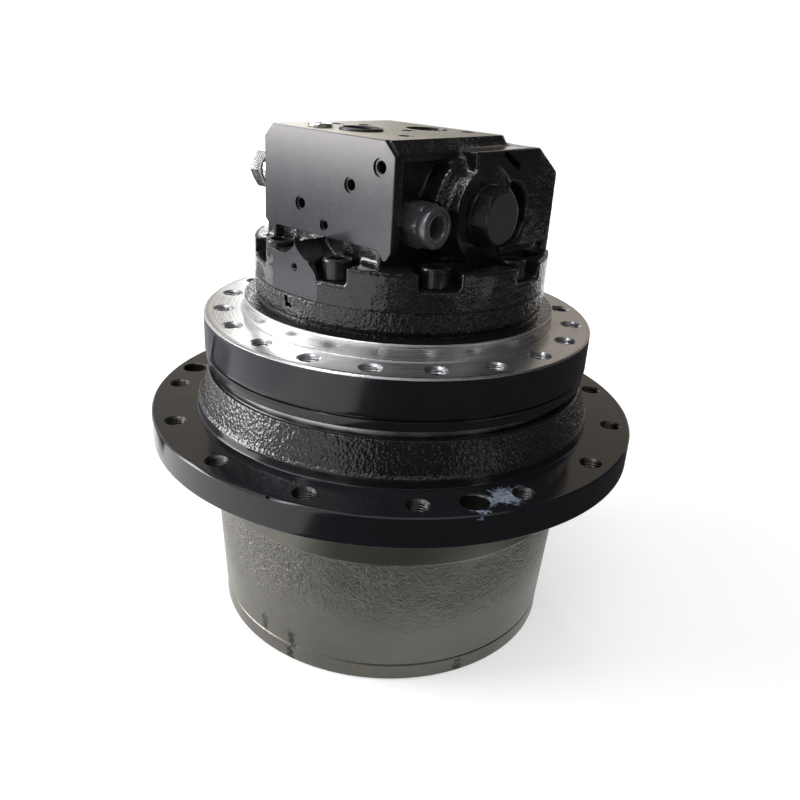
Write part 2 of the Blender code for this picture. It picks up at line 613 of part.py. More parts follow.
def build_motor_case(fixed):
    section = [
        (SPINDLE_THREAD_RADIUS, Z_SPINDLE),
        (SPINDLE_THREAD_RADIUS, Z_LOWER_BEARING - FIT),
        (SPINDLE_RADIUS, Z_LOWER_BEARING - FIT),
        (SPINDLE_RADIUS, Z_UPPER_BEARING + BEARING_WIDTH + FIT),
        (SPINDLE_RADIUS + SPINDLE_SHOULDER, Z_UPPER_BEARING + BEARING_WIDTH + FIT),
        (SPINDLE_RADIUS + SPINDLE_SHOULDER, Z_CASE_SEAL_SEAT),
        (SEAL_OUTER_RADIUS, Z_CASE_SEAL_SEAT),
        (SEAL_OUTER_RADIUS, Z_SEAL_FLOOR + SEAL_LABYRINTH_GAP),
        (SEAL_WALL_RADIUS, Z_SEAL_FLOOR + SEAL_LABYRINTH_GAP),
        (SEAL_WALL_RADIUS, Z_CASE_LIP),
        (FRAME_LIP_RADIUS, Z_CASE_LIP),
        (FRAME_LIP_RADIUS, Z_FRAME_FLANGE - FRAME_GROOVE_HEIGHT),
        (FRAME_GROOVE_RADIUS, Z_FRAME_FLANGE - FRAME_GROOVE_HEIGHT),
        (FRAME_GROOVE_RADIUS, Z_FRAME_FLANGE),
        (FRAME_FLANGE_RADIUS, Z_FRAME_FLANGE),
        (FRAME_FLANGE_RADIUS, Z_FRAME_FACE - EDGE_CHAMFER),
        (FRAME_FLANGE_RADIUS - EDGE_CHAMFER, Z_FRAME_FACE),
        (PILOT_RADIUS, Z_FRAME_FACE),
        (PILOT_RADIUS, Z_PILOT_TOP),
        (NECK_GROOVE_RADIUS, Z_PILOT_TOP),
        (NECK_RADIUS, Z_PILOT_TOP + NECK_UNDERCUT),
        (NECK_RADIUS, Z_CASE_TOP),
        (BRAKE_CAVITY_RADIUS, Z_CASE_TOP),
        (BRAKE_CAVITY_RADIUS, Z_BRAKE),
        (MOTOR_CAVITY_RADIUS, Z_BRAKE),
        (MOTOR_CAVITY_RADIUS, Z_CAVITY),
        (FRONT_BEARING_RADIUS + FIT, Z_CAVITY),
        (FRONT_BEARING_RADIUS + FIT, Z_FRONT_BEARING - FIT),
        (SHAFT_COLLAR_RADIUS, Z_FRONT_BEARING - FIT),
        (SHAFT_COLLAR_RADIUS, Z_CARRIER_SPIGOT + FIT),
        (OUTPUT_CARRIER_SPIGOT_RADIUS + FIT, Z_CARRIER_SPIGOT + FIT),
        (OUTPUT_CARRIER_SPIGOT_RADIUS + FIT, Z_SPINDLE),
    ]
    case = add("motor_case", turned(section), "gloss_black_paint", fixed)

    def frame_hole():
        low = Z_FRAME_FACE - FRAME_HOLE_DEPTH
        return cylinder(FRAME_HOLE_RADIUS, low, Z_FRAME_FACE + REACH, HOLE_SIDES)

    def screw_hole():
        low = Z_BLOCK - BLOCK_SCREW_GRIP - 2 * FIT
        return cylinder(BLOCK_SCREW_RADIUS + FIT, low, Z_CASE_TOP + REACH, HEAD_SIDES)

    shaped(case, spread(frame_hole, FRAME_HOLES, FRAME_HOLE_CIRCLE, FRAME_HOLE_TURN))
    shaped(case, spread(screw_hole, BLOCK_SCREWS, BLOCK_SCREW_CIRCLE, BLOCK_SCREW_TURN))
    seat = SWASH_TRUNNION_REACH + FIT
    seat_radius = clear_bore(SWASH_TRUNNION_RADIUS, HEAD_SIDES)
    trunnion_seat = laid(cylinder(seat_radius, -seat, seat, HEAD_SIDES), (1, 0, 0))
    shaped(case, moved(trunnion_seat, z=Z_SWASH))


def build_seals(fixed, turning):
    inner = SEAL_INNER_RADIUS
    outer = SEAL_OUTER_RADIUS - FIT
    heel = SEAL_RING_HEIGHT / 2
    low = Z_SEAL_MEET + FIT
    case_ring = [(inner, low), (outer, low), (outer, low + SEAL_RING_HEIGHT), (inner + heel, low + SEAL_RING_HEIGHT)]
    high = Z_SEAL_MEET
    hub_ring = [(inner, high), (outer, high), (outer, high - SEAL_RING_HEIGHT), (inner + heel, high - SEAL_RING_HEIGHT)]
    add("case_seal_ring", turned(case_ring), "gear_steel", fixed)
    add("hub_seal_ring", turned(hub_ring), "gear_steel", turning)


def build_output_carrier(fixed):
    section = [
        (OUTPUT_SUN_BORE, Z_OUTPUT_CARRIER),
        (OUTPUT_CARRIER_RADIUS, Z_OUTPUT_CARRIER),
        (OUTPUT_CARRIER_RADIUS, Z_SPINDLE - FIT),
        (OUTPUT_CARRIER_SPIGOT_RADIUS, Z_SPINDLE - FIT),
        (OUTPUT_CARRIER_SPIGOT_RADIUS, Z_CARRIER_SPIGOT),
        (OUTPUT_SUN_BORE, Z_CARRIER_SPIGOT),
    ]
    carrier = add("output_carrier", turned(section), "gear_steel", fixed)

    def pin_hole():
        return cylinder(OUTPUT_PIN_RADIUS + FIT, Z_OUTPUT_CARRIER - REACH, Z_SPINDLE + REACH, HEAD_SIDES)

    shaped(carrier, spread(pin_hole, PLANETS, OUTPUT_ORBIT, FIRST_PLANET_TURN + 90))


def build_output_pins(fixed):
    for number, place in enumerate(planet_places(), 1):
        head_radius = OUTPUT_PIN_RADIUS + PIN_HEAD_OVERHANG
        section = [
            (0, Z_OUTPUT_PIN),
            (head_radius, Z_OUTPUT_PIN),
            (head_radius, Z_OUTPUT_PIN + PIN_HEAD),
            (OUTPUT_PIN_RADIUS, Z_OUTPUT_PIN + PIN_HEAD),
            (OUTPUT_PIN_RADIUS, Z_SPINDLE - FIT),
            (0, Z_SPINDLE - FIT),
        ]
        x, y = polar(OUTPUT_ORBIT, place)
        pin = add(f"output_planet_pin_{number}", turned(section, HEAD_SIDES), "gear_steel", fixed, (x, y, 0))
        pin.rotation_euler = (0, 0, math.radians(place))


# Bearings


# Section of one race: a plain wall at the rolling radius, with a shoulder that the balls push against
def race(seat, rolling, shoulder, low, high):
    return [(seat, low), (seat, high), (rolling + shoulder, high), (rolling, (low + high) / 2), (rolling, low)]


# How far a faceted ball reaches from its orbit
def ball_height():
    return BEARING_BALL_RADIUS * math.cos(math.radians(30))


# Balls on a ring of cage webs, as one row. Each ball has a facet half its radius to each side of its middle.
def ball_row(orbit, height):
    sections = []
    for ball in range(BEARING_BALLS):
        middle = 360 * ball / BEARING_BALLS
        shift = math.degrees(BEARING_BALL_RADIUS / 2 / orbit)
        sections += [
            (middle - shift, ball_height()),
            (middle + shift, ball_height()),
            (middle + 180 / BEARING_BALLS, BEARING_WEB_RADIUS),
        ]
    shape = bmesh.new()
    loops = []
    for degrees, size in sections:
        corners = []
        for out, up in polygon(size, 6):
            x, y = polar(orbit + out, degrees)
            corners.append(shape.verts.new((x * MM, y * MM, (height + up) * MM)))
        loops.append(corners)
    for loop, following in zip(loops, loops[1:] + loops[:1]):
        for corner in range(6):
            onward = (corner + 1) % 6
            shape.faces.new((loop[corner], loop[onward], following[onward], following[corner]))
    return finish_mesh(shape)


def build_main_bearings(fixed, turning, cages):
    inner_seat = SPINDLE_RADIUS + FIT
    orbit = (inner_seat + BEARING_OUTER_RADIUS) / 2
    inner_rolling = orbit - ball_height() - RUNNING
    outer_rolling = clear_bore(orbit + ball_height(), BODY_SIDES)
    for name, low, cage in (("lower", Z_LOWER_BEARING, cages[0]), ("upper", Z_UPPER_BEARING, cages[1])):
        high = low + BEARING_WIDTH
        start, end = (high, low) if name == "lower" else (low, high)
        inner = race(inner_seat, inner_rolling, BEARING_SHOULDER, start, end)
        outer = race(BEARING_OUTER_RADIUS, outer_rolling, -BEARING_SHOULDER, end, start)
        add(f"{name}_bearing_inner_ring", turned(inner), "machined_steel", fixed)
        add(f"{name}_bearing_outer_ring", turned(outer), "machined_steel", turning)
        add(f"{name}_bearing_balls", ball_row(orbit, (low + high) / 2), "machined_steel", cage)


def build_bearing_nut(fixed):
    inner = SPINDLE_THREAD_RADIUS + FIT
    outer = inner + NUT_WALL
    nut = add("bearing_nut", ring(inner, outer, Z_NUT, Z_NUT + NUT_HEIGHT), "black_oxide", fixed)
    half = NUT_WALL / 4

    def slot():
        return prism(polygon(half * math.sqrt(2), 4, 45), Z_NUT - REACH, Z_NUT + NUT_HEIGHT / 2)

    shaped(nut, spread(slot, NUT_SLOTS, outer, 45))


# The turning housing


def build_hub(turning):
    bore = BEARING_OUTER_RADIUS + FIT
    seal_bore = SEAL_OUTER_RADIUS
    rib_low = Z_LOWER_BEARING + BEARING_WIDTH + FIT
    register = DRUM_BAND_RADIUS + FIT
    section = [
        (HUB_SPIGOT_RADIUS, Z_LOWER_BEARING),
        (bore, Z_LOWER_BEARING),
        (bore, rib_low),
        (bore - BEARING_RIB, rib_low),
        (bore - BEARING_RIB, Z_UPPER_BEARING - FIT),
        (bore, Z_UPPER_BEARING - FIT),
        (bore, Z_SEAL_SEAT),
        (seal_bore, Z_SEAL_SEAT),
        (seal_bore, Z_SEAL_FLOOR),
        (HUB_CONE_TOP_RADIUS - HUB_LIP_WALL, Z_SEAL_FLOOR),
        (HUB_CONE_TOP_RADIUS - HUB_LIP_WALL, Z_HUB_TOP),
        (HUB_CONE_TOP_RADIUS, Z_HUB_TOP),
        (HUB_CONE_FOOT_RADIUS, Z_SPROCKET_FACE + HUB_FOOT_HEIGHT),
        (HUB_FOOT_RADIUS, Z_SPROCKET_FACE + HUB_FOOT_HEIGHT - EDGE_CHAMFER),
        (HUB_FOOT_RADIUS, Z_SPROCKET_FACE),
        (SPROCKET_FLANGE_RADIUS - EDGE_CHAMFER, Z_SPROCKET_FACE),
        (SPROCKET_FLANGE_RADIUS, Z_SPROCKET_FACE - EDGE_CHAMFER),
        (SPROCKET_FLANGE_RADIUS, Z_HUB),
        (register, Z_HUB),
        (register, Z_HUB_JOINT),
        (HUB_SPIGOT_RADIUS, Z_HUB_JOINT),
    ]
    hub = add("hub", turned(section), "gloss_black_paint", turning)

    def through(radius):
        return lambda: cylinder(radius, Z_HUB - REACH, Z_SPROCKET_FACE + REACH, HOLE_SIDES)

    def screw_hole():
        return cylinder(DRUM_SCREW_RADIUS + FIT, Z_HUB - REACH, Z_HUB + DRUM_SCREW_GRIP + FIT, HEAD_SIDES)

    shaped(hub, spread(through(SPROCKET_HOLE_RADIUS), SPROCKET_HOLES, SPROCKET_HOLE_CIRCLE, SPROCKET_HOLE_TURN))
    shaped(hub, spread(through(DOWEL_HOLE_RADIUS), DOWEL_HOLES, SPROCKET_HOLE_CIRCLE, DOWEL_HOLE_TURN))
    shaped(hub, spread(screw_hole, DRUM_SCREWS, DRUM_SCREW_CIRCLE, 0))


def build_gear_drum(turning):
    top = Z_DRUM_TOP
    band = top - DRUM_BAND_HEIGHT
    blank_bore = RING_TIP_RADIUS - MODULE
    section = [
        (DRUM_MOUTH_RADIUS, Z_DRUM),
        (DRUM_FOOT_RADIUS - EDGE_CHAMFER, Z_DRUM),
        (DRUM_FOOT_RADIUS, Z_DRUM + EDGE_CHAMFER),
        (DRUM_SHOULDER_RADIUS, band - (DRUM_BAND_RADIUS - DRUM_SHOULDER_RADIUS) / 2),
        (DRUM_BAND_RADIUS, band),
        (DRUM_BAND_RADIUS, top),
        (HUB_SPIGOT_RADIUS + FIT, top),
        (HUB_SPIGOT_RADIUS + FIT, Z_RING_END),
        (blank_bore, Z_RING_END),
        (blank_bore, Z_RING),
        (DRUM_MOUTH_RADIUS, Z_RING),
    ]
    drum = add("gear_drum", turned(section), "bare_casting", turning)
    spaces = toothed(RING_TEETH, RING_TIP_RADIUS, RING_ROOT_RADIUS, -TOOTH_PLAY, 0)
    shaped(drum, prism(spaces, Z_RING - REACH, Z_RING_END + REACH))

    def screw_hole():
        return cylinder(DRUM_SCREW_RADIUS + FIT, Z_DRUM - REACH, top + REACH, HEAD_SIDES)

    shaped(drum, spread(screw_hole, DRUM_SCREWS, DRUM_SCREW_CIRCLE, 0))


def build_end_cover(turning):
    inside = COVER_DISH_DEPTH + COVER_WALL
    spigot = DRUM_MOUTH_RADIUS - FIT
    boss = Z_INPUT_GEARS - RUNNING
    section = [
        (0, COVER_DISH_DEPTH),
        (COVER_DISH_RADIUS - COVER_DISH_DEPTH, COVER_DISH_DEPTH),
        (COVER_DISH_RADIUS, 0),
        (COVER_RADIUS - EDGE_CHAMFER, 0),
        (COVER_RADIUS, EDGE_CHAMFER),
        (COVER_RADIUS, COVER_THICKNESS - EDGE_CHAMFER),
        (COVER_RADIUS - EDGE_CHAMFER, COVER_THICKNESS),
        (spigot, COVER_THICKNESS),
        (spigot, COVER_THICKNESS + COVER_SPIGOT_HEIGHT),
        (spigot - COVER_SPIGOT_WALL, COVER_THICKNESS + COVER_SPIGOT_HEIGHT),
        (spigot - COVER_SPIGOT_WALL, inside),
        (INPUT_SHAFT_RADIUS, inside),
        (INPUT_SHAFT_RADIUS, boss),
        (0, boss),
    ]
    cover = add("end_cover", turned(section), "bare_casting", turning)

    def counterbore():
        seat = DRUM_SCREW_RECESS + DRUM_SCREW_HEAD_HEIGHT + FIT
        head = DRUM_SCREW_HEAD_RADIUS + FIT
        shank = DRUM_SCREW_RADIUS + FIT
        high = COVER_THICKNESS + REACH
        profile = [(0, -REACH), (head, -REACH), (head, seat), (shank, seat), (shank, high), (0, high)]
        return turned(profile, HEAD_SIDES)

    def plug_hole():
        return cylinder(COVER_PLUG_RADIUS + FIT, -REACH, inside + REACH, HEAD_SIDES)

    shaped(cover, spread(counterbore, DRUM_SCREWS, DRUM_SCREW_CIRCLE, 0))
    shaped(cover, spread(plug_hole, 2, COVER_PLUG_CIRCLE, 30))


def build_cover_plugs(turning):
    low = COVER_DISH_DEPTH + COVER_PLUG_RECESS
    high = COVER_DISH_DEPTH + COVER_WALL
    for name, degrees in (("fill_plug", 30), ("drain_plug", 210)):
        blank = placed(cylinder(COVER_PLUG_RADIUS, low, high, HEAD_SIDES), 0, degrees)
        plug = add(name, blank, "black_oxide", turning, (*polar(COVER_PLUG_CIRCLE, degrees - 90), 0))
        shaped(plug, prism(polygon(COVER_PLUG_RADIUS * SOCKET_SHARE, 6), low - REACH, (low + high) / 2))


def build_drum_screws(turning):
    grip = Z_HUB + DRUM_SCREW_GRIP - DRUM_SCREW_RECESS - DRUM_SCREW_HEAD_HEIGHT
    for number in range(1, DRUM_SCREWS + 1):
        blank, socket = screw(DRUM_SCREW_RADIUS, grip, DRUM_SCREW_HEAD_RADIUS, DRUM_SCREW_HEAD_HEIGHT)
        place = 360 * number / DRUM_SCREWS - 90
        under_head = DRUM_SCREW_RECESS + DRUM_SCREW_HEAD_HEIGHT
        spot = (*polar(DRUM_SCREW_CIRCLE, place), under_head)
        piece = add(f"drum_screw_{number}", blank, "black_oxide", turning, spot)
        shaped(piece, socket)
        piece.rotation_euler = (math.pi, 0, math.radians(place))


# The gear train


def build_planets(stage, teeth, orbit, pin_radius, low, face, carrier):
    for number, place in enumerate(planet_places(), 1):
        x, y = polar(orbit, place)
        gear = wheel(teeth, planet_turn(teeth, place), low, low + face)
        piece = add(f"{stage}_planet_gear_{number}", gear, "gear_steel", carrier, (x, y, 0))
        bore = clear_bore(pin_radius, HEAD_SIDES)
        shaped(piece, cylinder(bore, low - REACH, low + face + REACH, HEAD_SIDES))


def build_input_carrier(stage):
    plate_top = Z_INPUT_CARRIER + INPUT_CARRIER_PLATE
    bore = OUTPUT_SUN_BOSS_RADIUS + FIT
    plate = ring(bore, INPUT_CARRIER_RADIUS, Z_INPUT_CARRIER, plate_top)
    carrier = add("input_carrier", plate, "gear_steel", stage)

    def pin():
        head_radius = INPUT_PIN_RADIUS + PIN_HEAD_OVERHANG
        head_top = Z_INPUT_PIN + PIN_HEAD
        middle = Z_INPUT_CARRIER + INPUT_CARRIER_PLATE / 2
        section = [
            (0, Z_INPUT_PIN),
            (head_radius, Z_INPUT_PIN),
            (head_radius, head_top),
            (INPUT_PIN_RADIUS, head_top),
            (INPUT_PIN_RADIUS, middle),
            (0, middle),
        ]
        return turned(section, HEAD_SIDES)

    shaped(carrier, spread(pin, PLANETS, INPUT_ORBIT, FIRST_PLANET_TURN + 90), "UNION")


def build_output_sun(stage):
    turn = sun_turn(OUTPUT_SUN_TEETH, OUTPUT_PLANET_TEETH, FIRST_PLANET_TURN)
    high = Z_OUTPUT_GEARS + OUTPUT_FACE - RUNNING
    gear = wheel(OUTPUT_SUN_TEETH, turn, Z_OUTPUT_GEARS, high)
    sun = add("output_sun_gear", gear, "gear_steel", stage)
    boss = cylinder(OUTPUT_SUN_BOSS_RADIUS, Z_INPUT_CARRIER, Z_OUTPUT_GEARS + REACH, BODY_SIDES)
    shaped(sun, boss, "UNION")
    shaped(sun, cylinder(OUTPUT_SUN_BORE, Z_INPUT_CARRIER - REACH, high + REACH))


def build_input_sun(shaft_line):
    turn = sun_turn(INPUT_SUN_TEETH, INPUT_PLANET_TEETH, FIRST_PLANET_TURN)
    gear = wheel(INPUT_SUN_TEETH, turn, Z_INPUT_GEARS, Z_INPUT_GEARS + INPUT_FACE)
    sun = add("input_sun_gear", gear, "gear_steel", shaft_line)
    high = Z_FRONT_BEARING - SHAFT_SOCKET_DEPTH / 2
    shaped(sun, cylinder(INPUT_SHAFT_RADIUS, Z_INPUT_GEARS + REACH, high), "UNION")


# The motor


def build_motor_shaft(shaft_line):
    socket_top = Z_FRONT_BEARING - SHAFT_SOCKET_DEPTH / 2 + FIT
    collar = Z_FRONT_BEARING + FRONT_BEARING_WIDTH + FIT
    shoulder = Z_CASE_TOP - VALVE_PLATE_THICKNESS
    section = [
        (0, socket_top),
        (INPUT_SHAFT_RADIUS + FIT, socket_top),
        (INPUT_SHAFT_RADIUS + FIT, socket_top - SHAFT_SOCKET_DEPTH),
        (SHAFT_FRONT_RADIUS, socket_top - SHAFT_SOCKET_DEPTH),
        (SHAFT_FRONT_RADIUS, collar),
        (SHAFT_COLLAR_RADIUS, collar),
        (SHAFT_COLLAR_RADIUS, collar + EDGE_CHAMFER * 2),
        (SHAFT_RADIUS, collar + EDGE_CHAMFER * 2),
        (SHAFT_RADIUS, shoulder),
        (SHAFT_TAIL_RADIUS, shoulder),
        (SHAFT_TAIL_RADIUS, Z_BLOCK + REAR_BEARING_WIDTH),
        (0, Z_BLOCK + REAR_BEARING_WIDTH),
    ]
    add("motor_shaft", turned(section, SHAFT_SIDES), "machined_steel", shaft_line)


def build_shaft_bearings(fixed):
    front_bore = clear_bore(SHAFT_FRONT_RADIUS, BODY_SIDES)
    low = Z_FRONT_BEARING
    front = ring(front_bore, FRONT_BEARING_RADIUS, low, low + FRONT_BEARING_WIDTH)
    add("shaft_front_bearing", front, "machined_steel", fixed)
    rear_bore = clear_bore(SHAFT_TAIL_RADIUS, BODY_SIDES)
    rear = ring(rear_bore, REAR_BEARING_RADIUS, Z_BLOCK, Z_BLOCK + REAR_BEARING_WIDTH)
    add("shaft_rear_bearing", rear, "machined_steel", fixed)


def build_cylinder_block(shaft_line):
    bore = clear_bore(SHAFT_RADIUS, BODY_SIDES)
    block = add("cylinder_block", ring(bore, BARREL_RADIUS, Z_BARREL, Z_BARREL_TOP), "gear_steel", shaft_line)

    def piston():
        section = [
            (0, Z_SLIPPER),
            (SLIPPER_RADIUS, Z_SLIPPER),
            (SLIPPER_RADIUS, Z_SLIPPER + SLIPPER_HEIGHT),
            (PISTON_RADIUS, Z_SLIPPER + SLIPPER_HEIGHT),
            (PISTON_RADIUS, Z_BARREL + REACH),
            (0, Z_BARREL + REACH),
        ]
        return turned(section, HOLE_SIDES)

    shaped(block, spread(piston, PISTONS, PISTON_CIRCLE, 0), "UNION")


def build_swash_plate(fixed):
    half = SWASH_THICKNESS / 2
    plate = add("swash_plate", ring(SWASH_HOLE, SWASH_RADIUS, -half, half), "gear_steel", fixed, (0, 0, Z_SWASH))
    inside = (SWASH_HOLE + SWASH_RADIUS) / 2
    pins = []
    for side in (-1, 1):
        pin = cylinder(SWASH_TRUNNION_RADIUS, inside, SWASH_TRUNNION_REACH, HEAD_SIDES)
        pins.append(laid(pin, (side, 0, 0)))
    shaped(plate, together(pins), "UNION")
    plate.rotation_euler = (math.radians(SWASH_ANGLE), 0, 0)


def kidney(side):
    outer = [polar(KIDNEY_RADIUS + KIDNEY_HALF_WIDTH, side + KIDNEY_HALF_SPAN * step / 3) for step in range(-3, 4)]
    inner = [polar(KIDNEY_RADIUS - KIDNEY_HALF_WIDTH, side + KIDNEY_HALF_SPAN * step / 3) for step in range(3, -4, -1)]
    return prism(outer + inner, Z_BARREL_TOP - REACH, Z_CASE_TOP + REACH)


def build_valve_plate(fixed):
    low = Z_BARREL_TOP + FIT
    bore = SHAFT_TAIL_RADIUS + 2 * RUNNING
    plate = add("valve_plate", ring(bore, VALVE_PLATE_RADIUS, low, Z_CASE_TOP), "bronze", fixed)
    shaped(plate, together([kidney(0), kidney(180)]))


def build_brake(fixed, shaft_line):
    outer = BRAKE_CAVITY_RADIUS - FIT
    low = Z_BRAKE + FIT
    plate = ring(BRAKE_INNER_RADIUS, outer, low, low + BRAKE_PLATE_THICKNESS)
    add("brake_steel_plate", plate, "gear_steel", fixed)
    disc_top = Z_BRAKE_DISC + BRAKE_DISC_THICKNESS
    disc = ring(BARREL_RADIUS + FIT, BRAKE_DISC_RADIUS, Z_BRAKE_DISC, disc_top)
    add("brake_friction_disc", disc, "friction_lining", shaft_line)
    piston_top = Z_BRAKE_PISTON + BRAKE_PISTON_HEIGHT
    piston = ring(BRAKE_INNER_RADIUS, outer, Z_BRAKE_PISTON, piston_top)
    add("brake_piston", piston, "machined_steel", fixed)


# The port block, in its own axes


def lengthwise(outline, low, high):
    # Outline in X and Z, drawn along Y
    shape = prism([(x, -z) for x, z in outline], low, high)
    turn = Matrix(((1, 0, 0), (0, 0, 1), (0, -1, 0)))
    bmesh.ops.rotate(shape, cent=(0, 0, 0), matrix=turn, verts=shape.verts[:])
    return shape


def crosswise(outline, low, high):
    # Outline in Y and Z, drawn along X
    shape = prism(outline, low, high)
    turn = Matrix(((0, 0, 1), (1, 0, 0), (0, 1, 0)))
    bmesh.ops.rotate(shape, cent=(0, 0, 0), matrix=turn, verts=shape.verts[:])
    return shape


def end_plate_outline():
    low = Z_BLOCK + BLOCK_UNDERSIDE
    corner = BLOCK_HALF_WIDTH - BLOCK_CORNER_HALF_WIDTH
    return [
        (-BLOCK_HALF_WIDTH + BLOCK_FOOT_CHAMFER, low),
        (corner - BLOCK_CORNER_HALF_WIDTH, low),
        (corner, low - BLOCK_CORNER_DROP),
        (BLOCK_HALF_WIDTH, low),
        (BLOCK_HALF_WIDTH, Z_BLOCK_TOP - BLOCK_CHAMFER),
        (BLOCK_HALF_WIDTH - BLOCK_CHAMFER, Z_BLOCK_TOP),
        (-BLOCK_HALF_WIDTH + BLOCK_CHAMFER, Z_BLOCK_TOP),
        (-BLOCK_HALF_WIDTH, Z_BLOCK_TOP - BLOCK_CHAMFER),
        (-BLOCK_HALF_WIDTH, low + BLOCK_FOOT_CHAMFER),
    ]


def slab_outline(top):
    return [
        (-BLOCK_HALF_WIDTH, Z_BLOCK_TOP - BLOCK_SLAB_HEIGHT - BLOCK_REAR_DROP),
        (BLOCK_HALF_WIDTH, Z_BLOCK_TOP - BLOCK_SLAB_HEIGHT - BLOCK_REAR_DROP),
        (BLOCK_HALF_WIDTH, top - BLOCK_CHAMFER),
        (BLOCK_HALF_WIDTH - BLOCK_CHAMFER, top),
        (-BLOCK_HALF_WIDTH + BLOCK_CHAMFER, top),
        (-BLOCK_HALF_WIDTH, top - BLOCK_CHAMFER),
    ]


def lump_outline():
    top = Z_BLOCK_TOP - LUMP_TOP_DROP
    low = Z_BLOCK + LUMP_BOTTOM
    end = BLOCK_HALF_LENGTH
    return [
        (LUMP_START, Z_BLOCK + VALVE_AXIS_RISE),
        (VALVE_AXIS_Y, low),
        (end, low),
        (end, top - LUMP_END_CHAMFER),
        (end - LUMP_TOP_CORNER, top),
        (LUMP_START, top),
    ]


# Half width of the bell-shaped pad at a height above the joint face
def pad_half_width(rise):
    if rise <= PAD_SHOULDER:
        return PAD_HALF_WIDTH
    share = (rise - PAD_SHOULDER) / (BLOCK_UNDERSIDE - PAD_SHOULDER)
    return PAD_HALF_WIDTH * (1 + math.cos(math.pi * share)) / 2


def pad_outline(lift, inset):
    steps = [PAD_SHOULDER + (BLOCK_UNDERSIDE - PAD_SHOULDER) * step / 6 for step in range(6)]
    right = [(pad_half_width(rise) - inset, Z_BLOCK + rise) for rise in [lift, *steps]]
    left = [(-x, z) for x, z in reversed(right)]
    return right + [(0, Z_BLOCK + BLOCK_UNDERSIDE + 2 * REACH - inset)] + left


def pocket():
    low = Z_POCKET
    high = Z_BLOCK + BLOCK_FOOT_HEIGHT + REACH
    outline = [polar(POCKET_RADIUS, 90 + 180 * step / 6) for step in range(7)]
    outline += [(NECK_RADIUS / 2, -POCKET_RADIUS), (NECK_RADIUS / 2, POCKET_RADIUS)]
    return prism(outline, low, high)


